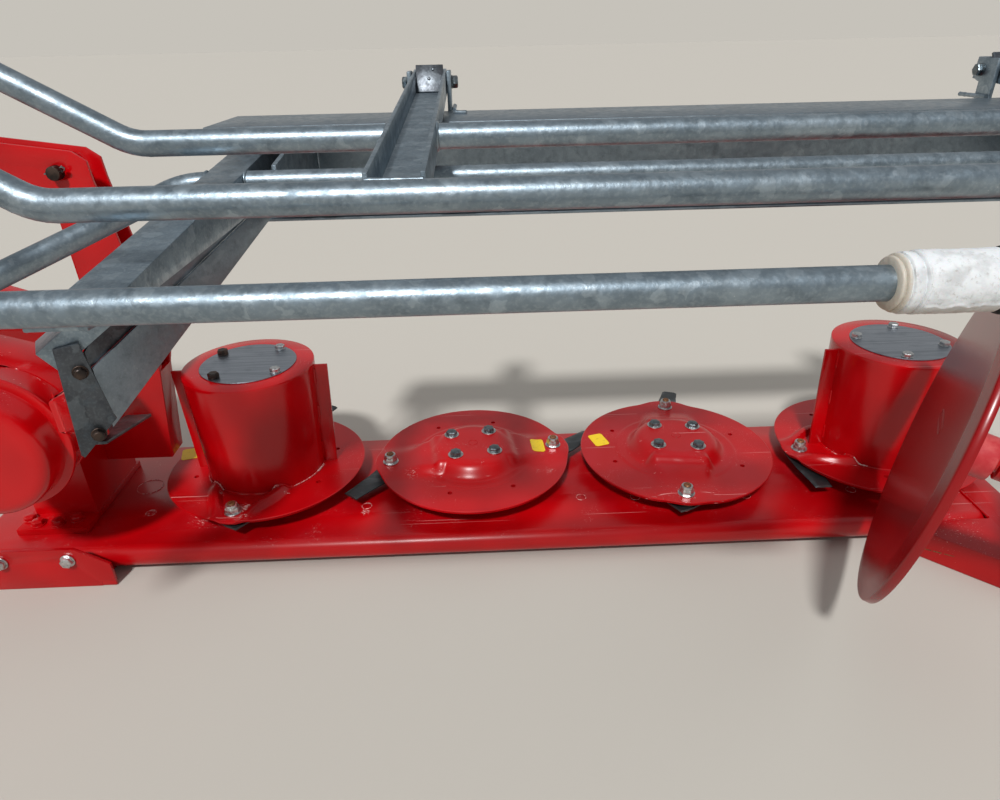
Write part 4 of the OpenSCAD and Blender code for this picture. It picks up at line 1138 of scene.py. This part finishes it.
def leverDetails():
    # the lever's pin, held by a bright cotter through each end
    x, z = leverAt
    values = {"side": 26.2, "wireSize": 1.8, "wire": ((-16, 33, -1), (-11, 33, 0), (0, 33, 1), (12, 33, 2),
        (16, 34, 4), (18, 36, 8), (15, 37, 10), (12, 35, 8))}
    parts = []
    for side in (-1, 1):
        pin = ringStack("pinEnd", [(11, 0), (11, 9), (10.2, 10.6), (8.6, 11.2), (2, 11.3)], 40)
        pin.data.transform(standAt(spot(x, side * values["side"], z), (0, side, 0)))
        smooth(pin, 30)
        pin.data.materials.append(darkBolt)
        wire = [spot(x + ahead, side * out, z + up) for ahead, out, up in values["wire"]]
        cotter = weldRun("cotter", wire, values["wireSize"])
        cotter.data.materials.append(brightSteel)
        parts += [pin, cotter]
    dress(joinAll(parts, "lever_fastening"), "cutter_bar", None)


leverDetails()


# Hitch, drive and lift: fasteners that a fitter would look for

def boltCircle(bolt, at, y, radius, start, facing):
    # six bolts round a cross piece's axis
    placed = []
    for k in range(6):
        a = math.radians(60 * k + start)
        point = spot(at[0] + radius * math.cos(a), y, at[1] + radius * math.sin(a))
        placed.append(copyTo(bolt, standAt(point, (0, facing, 0))))
    return placed


def hitchDetails():
    # bolt rings: their Y, radius and first turn
    values = {"shaftBolts": (202, 57, 30), "coverBolts": (-197, 85, 0), "bossBolts": (146, 56, 0),
        "edge": 90, "pinNut": 28.6, "clip": 55, "ring": 16, "lug": 7.5}
    bolts = boltCircle(boltM8, inputAt, *values["shaftBolts"], 1)
    bolts += boltCircle(boltM10, inputAt, *values["coverBolts"], -1)
    for side in (-1, 1):
        at = hitchX + side * (hitchHalf - values["pinNut"])
        bolts.append(copyTo(boltM16, standAt(spot(at, hitchPinY, hitchPinZ), (-side, 0, 0))))
    bolts += boltCircle(boltM12, pulleyAt, *values["bossBolts"], 1)
    # along both edges of the belt guard
    low, high = Vector(pulleyAt), Vector(inputAt)
    along = (high - low).normalized()
    across = Vector((-along.y, along.x)) * values["edge"]
    for share in (0.38, 0.62, 0.88):
        for side in (-1, 1):
            point = low.lerp(high, share) + across * side
            bolts.append(copyTo(boltM8, standAt(spot(point.x, -197, point.y), (0, -1, 0))))
    dress(joinAll(bolts, "hitch_bolts"), "hitch", None)
    clips = []
    for side in (-1, 1):
        at = hitchX + side * (hitchHalf + values["clip"])
        ring = []
        for i in range(21):
            a = math.radians(20 + 16 * i)
            back, up = values["ring"] * math.cos(a), values["ring"] * math.sin(a)
            ring.append(spot(at, hitchPinY + back, hitchPinZ + up))
        clips.append(weldRun("linchRing", ring, 1.8))
        peg = ringStack("linchPeg", [(4, -17), (4.2, -16), (4.2, 14), (7, 15), (7, 22), (5.5, 24)], 20)
        peg.data.transform(Matrix.Translation(spot(at, hitchPinY, hitchPinZ)))
        clips.append(peg)
    dress(joinAll(clips, "linch_pins"), "hitch", zinc)
    seams = []
    for side in (-1, 1):
        for edge in (-8, 8):
            x = hitchX + side * (hitchHalf - values["lug"]) + edge
            upright = straightPoints(spot(x, 146.5, hitchPinZ - 32), spot(x, 146.5, hitchPinZ + 32))
            seams.append(weldRun("lugWeld", upright, 3))
    around = circlePoints(spot(pulleyAt[0], 146.4, pulleyAt[1]), (0, 1, 0), 75.4, 6)
    seams.append(weldRun("bossWeld", around, 2.6, True))
    dress(joinAll(seams, "hitch_welds"), "hitch", red)


hitchDetails()


def liftDetails():
    # distances along the cylinder from its anchor pin
    values = {"gland": 690, "wiper": 716, "ports": (90, 640), "portRise": 28, "nut": 52}
    anchor, pin = Vector((anchorAt[0], 0, anchorAt[1])), Vector((leverAt[0], 0, leverAt[1]))
    along = (pin - anchor).normalized()
    gland = ringStack("gland", [(31, 0), (34, 1), (34, 24), (32, 26), (24, 26), (22, 30), (16.3, 30)], 48)
    gland.data.transform(standAt(spot(*(anchor + along * values["gland"])), along))
    wiper = ringStack("wiper", [(21, 0), (21.6, 1), (20, 4), (16.3, 4.4)], 40)
    wiper.data.transform(standAt(spot(*(anchor + along * values["wiper"])), along))
    port = ringStack("port", [(13, 0), (13, 12), (11, 14), (11, 18), (8, 18), (8, 6)], 24)
    up = -along.cross(Vector((0, 1, 0))).normalized()
    ports = []
    for at in values["ports"]:
        ports.append(copyTo(port, standAt(spot(*(anchor + along * at + up * values["portRise"])), up)))
    bpy.data.objects.remove(port)
    for part in [gland, wiper] + ports:
        smooth(part, 30)
        part.data.materials.clear()
        part.data.materials.append(brightSteel if part != wiper else rubber)
    dress(joinAll([gland, wiper] + ports, "cylinder_fittings"), "lift_barrel", None)
    nuts = []
    for side in (-1, 1):
        at = spot(anchorAt[0], side * values["nut"], anchorAt[1])
        nuts.append(copyTo(boltM16, standAt(at, (0, side, 0))))
    dress(joinAll(nuts, "anchor_nuts"), "hitch", None)


liftDetails()


def legDetails():
    values = {"x": -1400, "face": 10, "pin": (35, 420), "holes": (150, 200, 250, 300, 480, 530)}
    pin = ringStack("leg_pin", [(7, -46), (8, -45), (8, 40), (12, 40.5), (12, 44), (10, 46)], 28)
    pin.data.transform(standAt(spot(values["x"], *values["pin"]), (1, 0, 0)))
    smooth(pin, 30)
    dress(pin, "hitch", zinc)
    # dark discs on the leg's face stand for its holes, as painted shade
    holes = []
    for z in values["holes"]:
        ring = ringStack("hole", [(8, -0.3), (8, 0.1), (7.2, 0.1), (7, 0.03)], 24)
        ring.data.transform(standAt(spot(values["x"], values["face"], z), (0, -1, 0)))
        holes.append(ring)
    dress(joinAll(holes, "leg_holes"), "parking_leg", holeShade)


legDetails()
for source in (boltM16, boltM12, boltM10, boltM8, boltDark, domeBolt, foldBolt, bracketBolt, knifeNut):
    bpy.data.objects.remove(source)
print("hitch, lift and leg details made")


# Floor, lights and camera

def studio():
    values = {"floor": "#BFBAB1", "horizon": "#C6C2BA", "ceiling": "#A2A3A4", "daylight": "#F4F6F8",
        "world": 0.4, "sun": 2.7, "fill": 0.45, "across": 160}
    bpy.ops.object.select_all(action="DESELECT")
    bpy.ops.mesh.primitive_plane_add(size=values["across"], location=(0, 0, -0.0005))
    floor = bpy.context.active_object
    floor.name = "floor"
    finish, tree, shader, place = startFinish("paleFloor", {"Roughness": 0.9, "Specular IOR Level": 0.2,
        "Base Color": toLinear(values["floor"])})
    floor.data.materials.append(finish)
    world = bpy.data.worlds.new("studio")
    bpy.context.scene.world = world
    world.use_nodes = True
    tree = world.node_tree
    tree.nodes.clear()
    path = addNode(tree, "ShaderNodeLightPath", {}).outputs
    seen = addNode(tree, "ShaderNodeMath", {"operation": "ADD", 0: path["Is Camera Ray"],
        1: path["Is Glossy Ray"]}).outputs[0]
    seen = addNode(tree, "ShaderNodeMath", {"operation": "ADD", "use_clamp": True, 0: seen,
        1: path["Is Transmission Ray"]}).outputs[0]
    light = addNode(tree, "ShaderNodeBackground", {"Color": values["daylight"], "Strength": values["world"]})
    aim = addNode(tree, "ShaderNodeTexCoord", {}).outputs["Generated"]
    height = addNode(tree, "ShaderNodeSeparateXYZ", {0: aim}).outputs["Z"]
    rise = addNode(tree, "ShaderNodeMapRange", {**limits(0.04, 0.4), "Value": height}).outputs["Result"]
    backdrop = coat(tree, values["horizon"], values["ceiling"], rise)
    shown = addNode(tree, "ShaderNodeBackground", {"Color": backdrop, "Strength": 1.0})
    mixed = addNode(tree, "ShaderNodeMixShader", {0: seen, 1: light.outputs[0], 2: shown.outputs[0]})
    addNode(tree, "ShaderNodeOutputWorld", {"Surface": mixed.outputs[0]})
    # the key falls as the photograph's sun does, from behind the viewer, and the fill leaves no highlight
    for name, power, softness, direction in (("key", values["sun"], 5, (0.157, 0.629, -0.761)),
            ("fill", values["fill"], 70, (-0.5, -0.4, -0.8))):
        lamp = bpy.data.lights.new(name, "SUN")
        lamp.energy = power
        lamp.angle = math.radians(softness)
        holder = bpy.data.objects.new(name, lamp)
        holder.visible_glossy = name == "key"
        holder.rotation_euler = Vector(direction).to_track_quat("-Z", "Y").to_euler()
        bpy.context.scene.collection.objects.link(holder)


def photoCamera():
    # the viewpoint worked out from the four discs' perspective
    values = {"place": (423.5, -1147.8, 819.7), "pitch": 0.486557, "yaw": 0.0275915, "roll": -0.0217434,
        "lens": 24.67}
    cp, sp = math.cos(values["pitch"]), math.sin(values["pitch"])
    cy, sy = math.cos(values["yaw"]), math.sin(values["yaw"])
    ahead = Vector((sy * cp, cy * cp, -sp))
    side = Vector((cy, -sy, 0))
    above = side.cross(ahead)
    cr, sr = math.cos(values["roll"]), math.sin(values["roll"])
    right = side * cr + above * sr
    up = above * cr - side * sr
    lens = bpy.data.cameras.new("photoView")
    lens.sensor_width = 36
    lens.lens = values["lens"]
    lens.clip_start = 0.02
    lens.clip_end = 300
    camera = bpy.data.objects.new("photoView", lens)
    aim = Matrix((right, up, -ahead)).transposed().to_4x4()
    camera.matrix_world = Matrix.Translation(spot(*values["place"])) @ aim
    bpy.context.scene.collection.objects.link(camera)
    bpy.context.scene.camera = camera


studio()
photoCamera()
bpy.context.scene.view_settings.view_transform = "Standard"
print("scene ready")
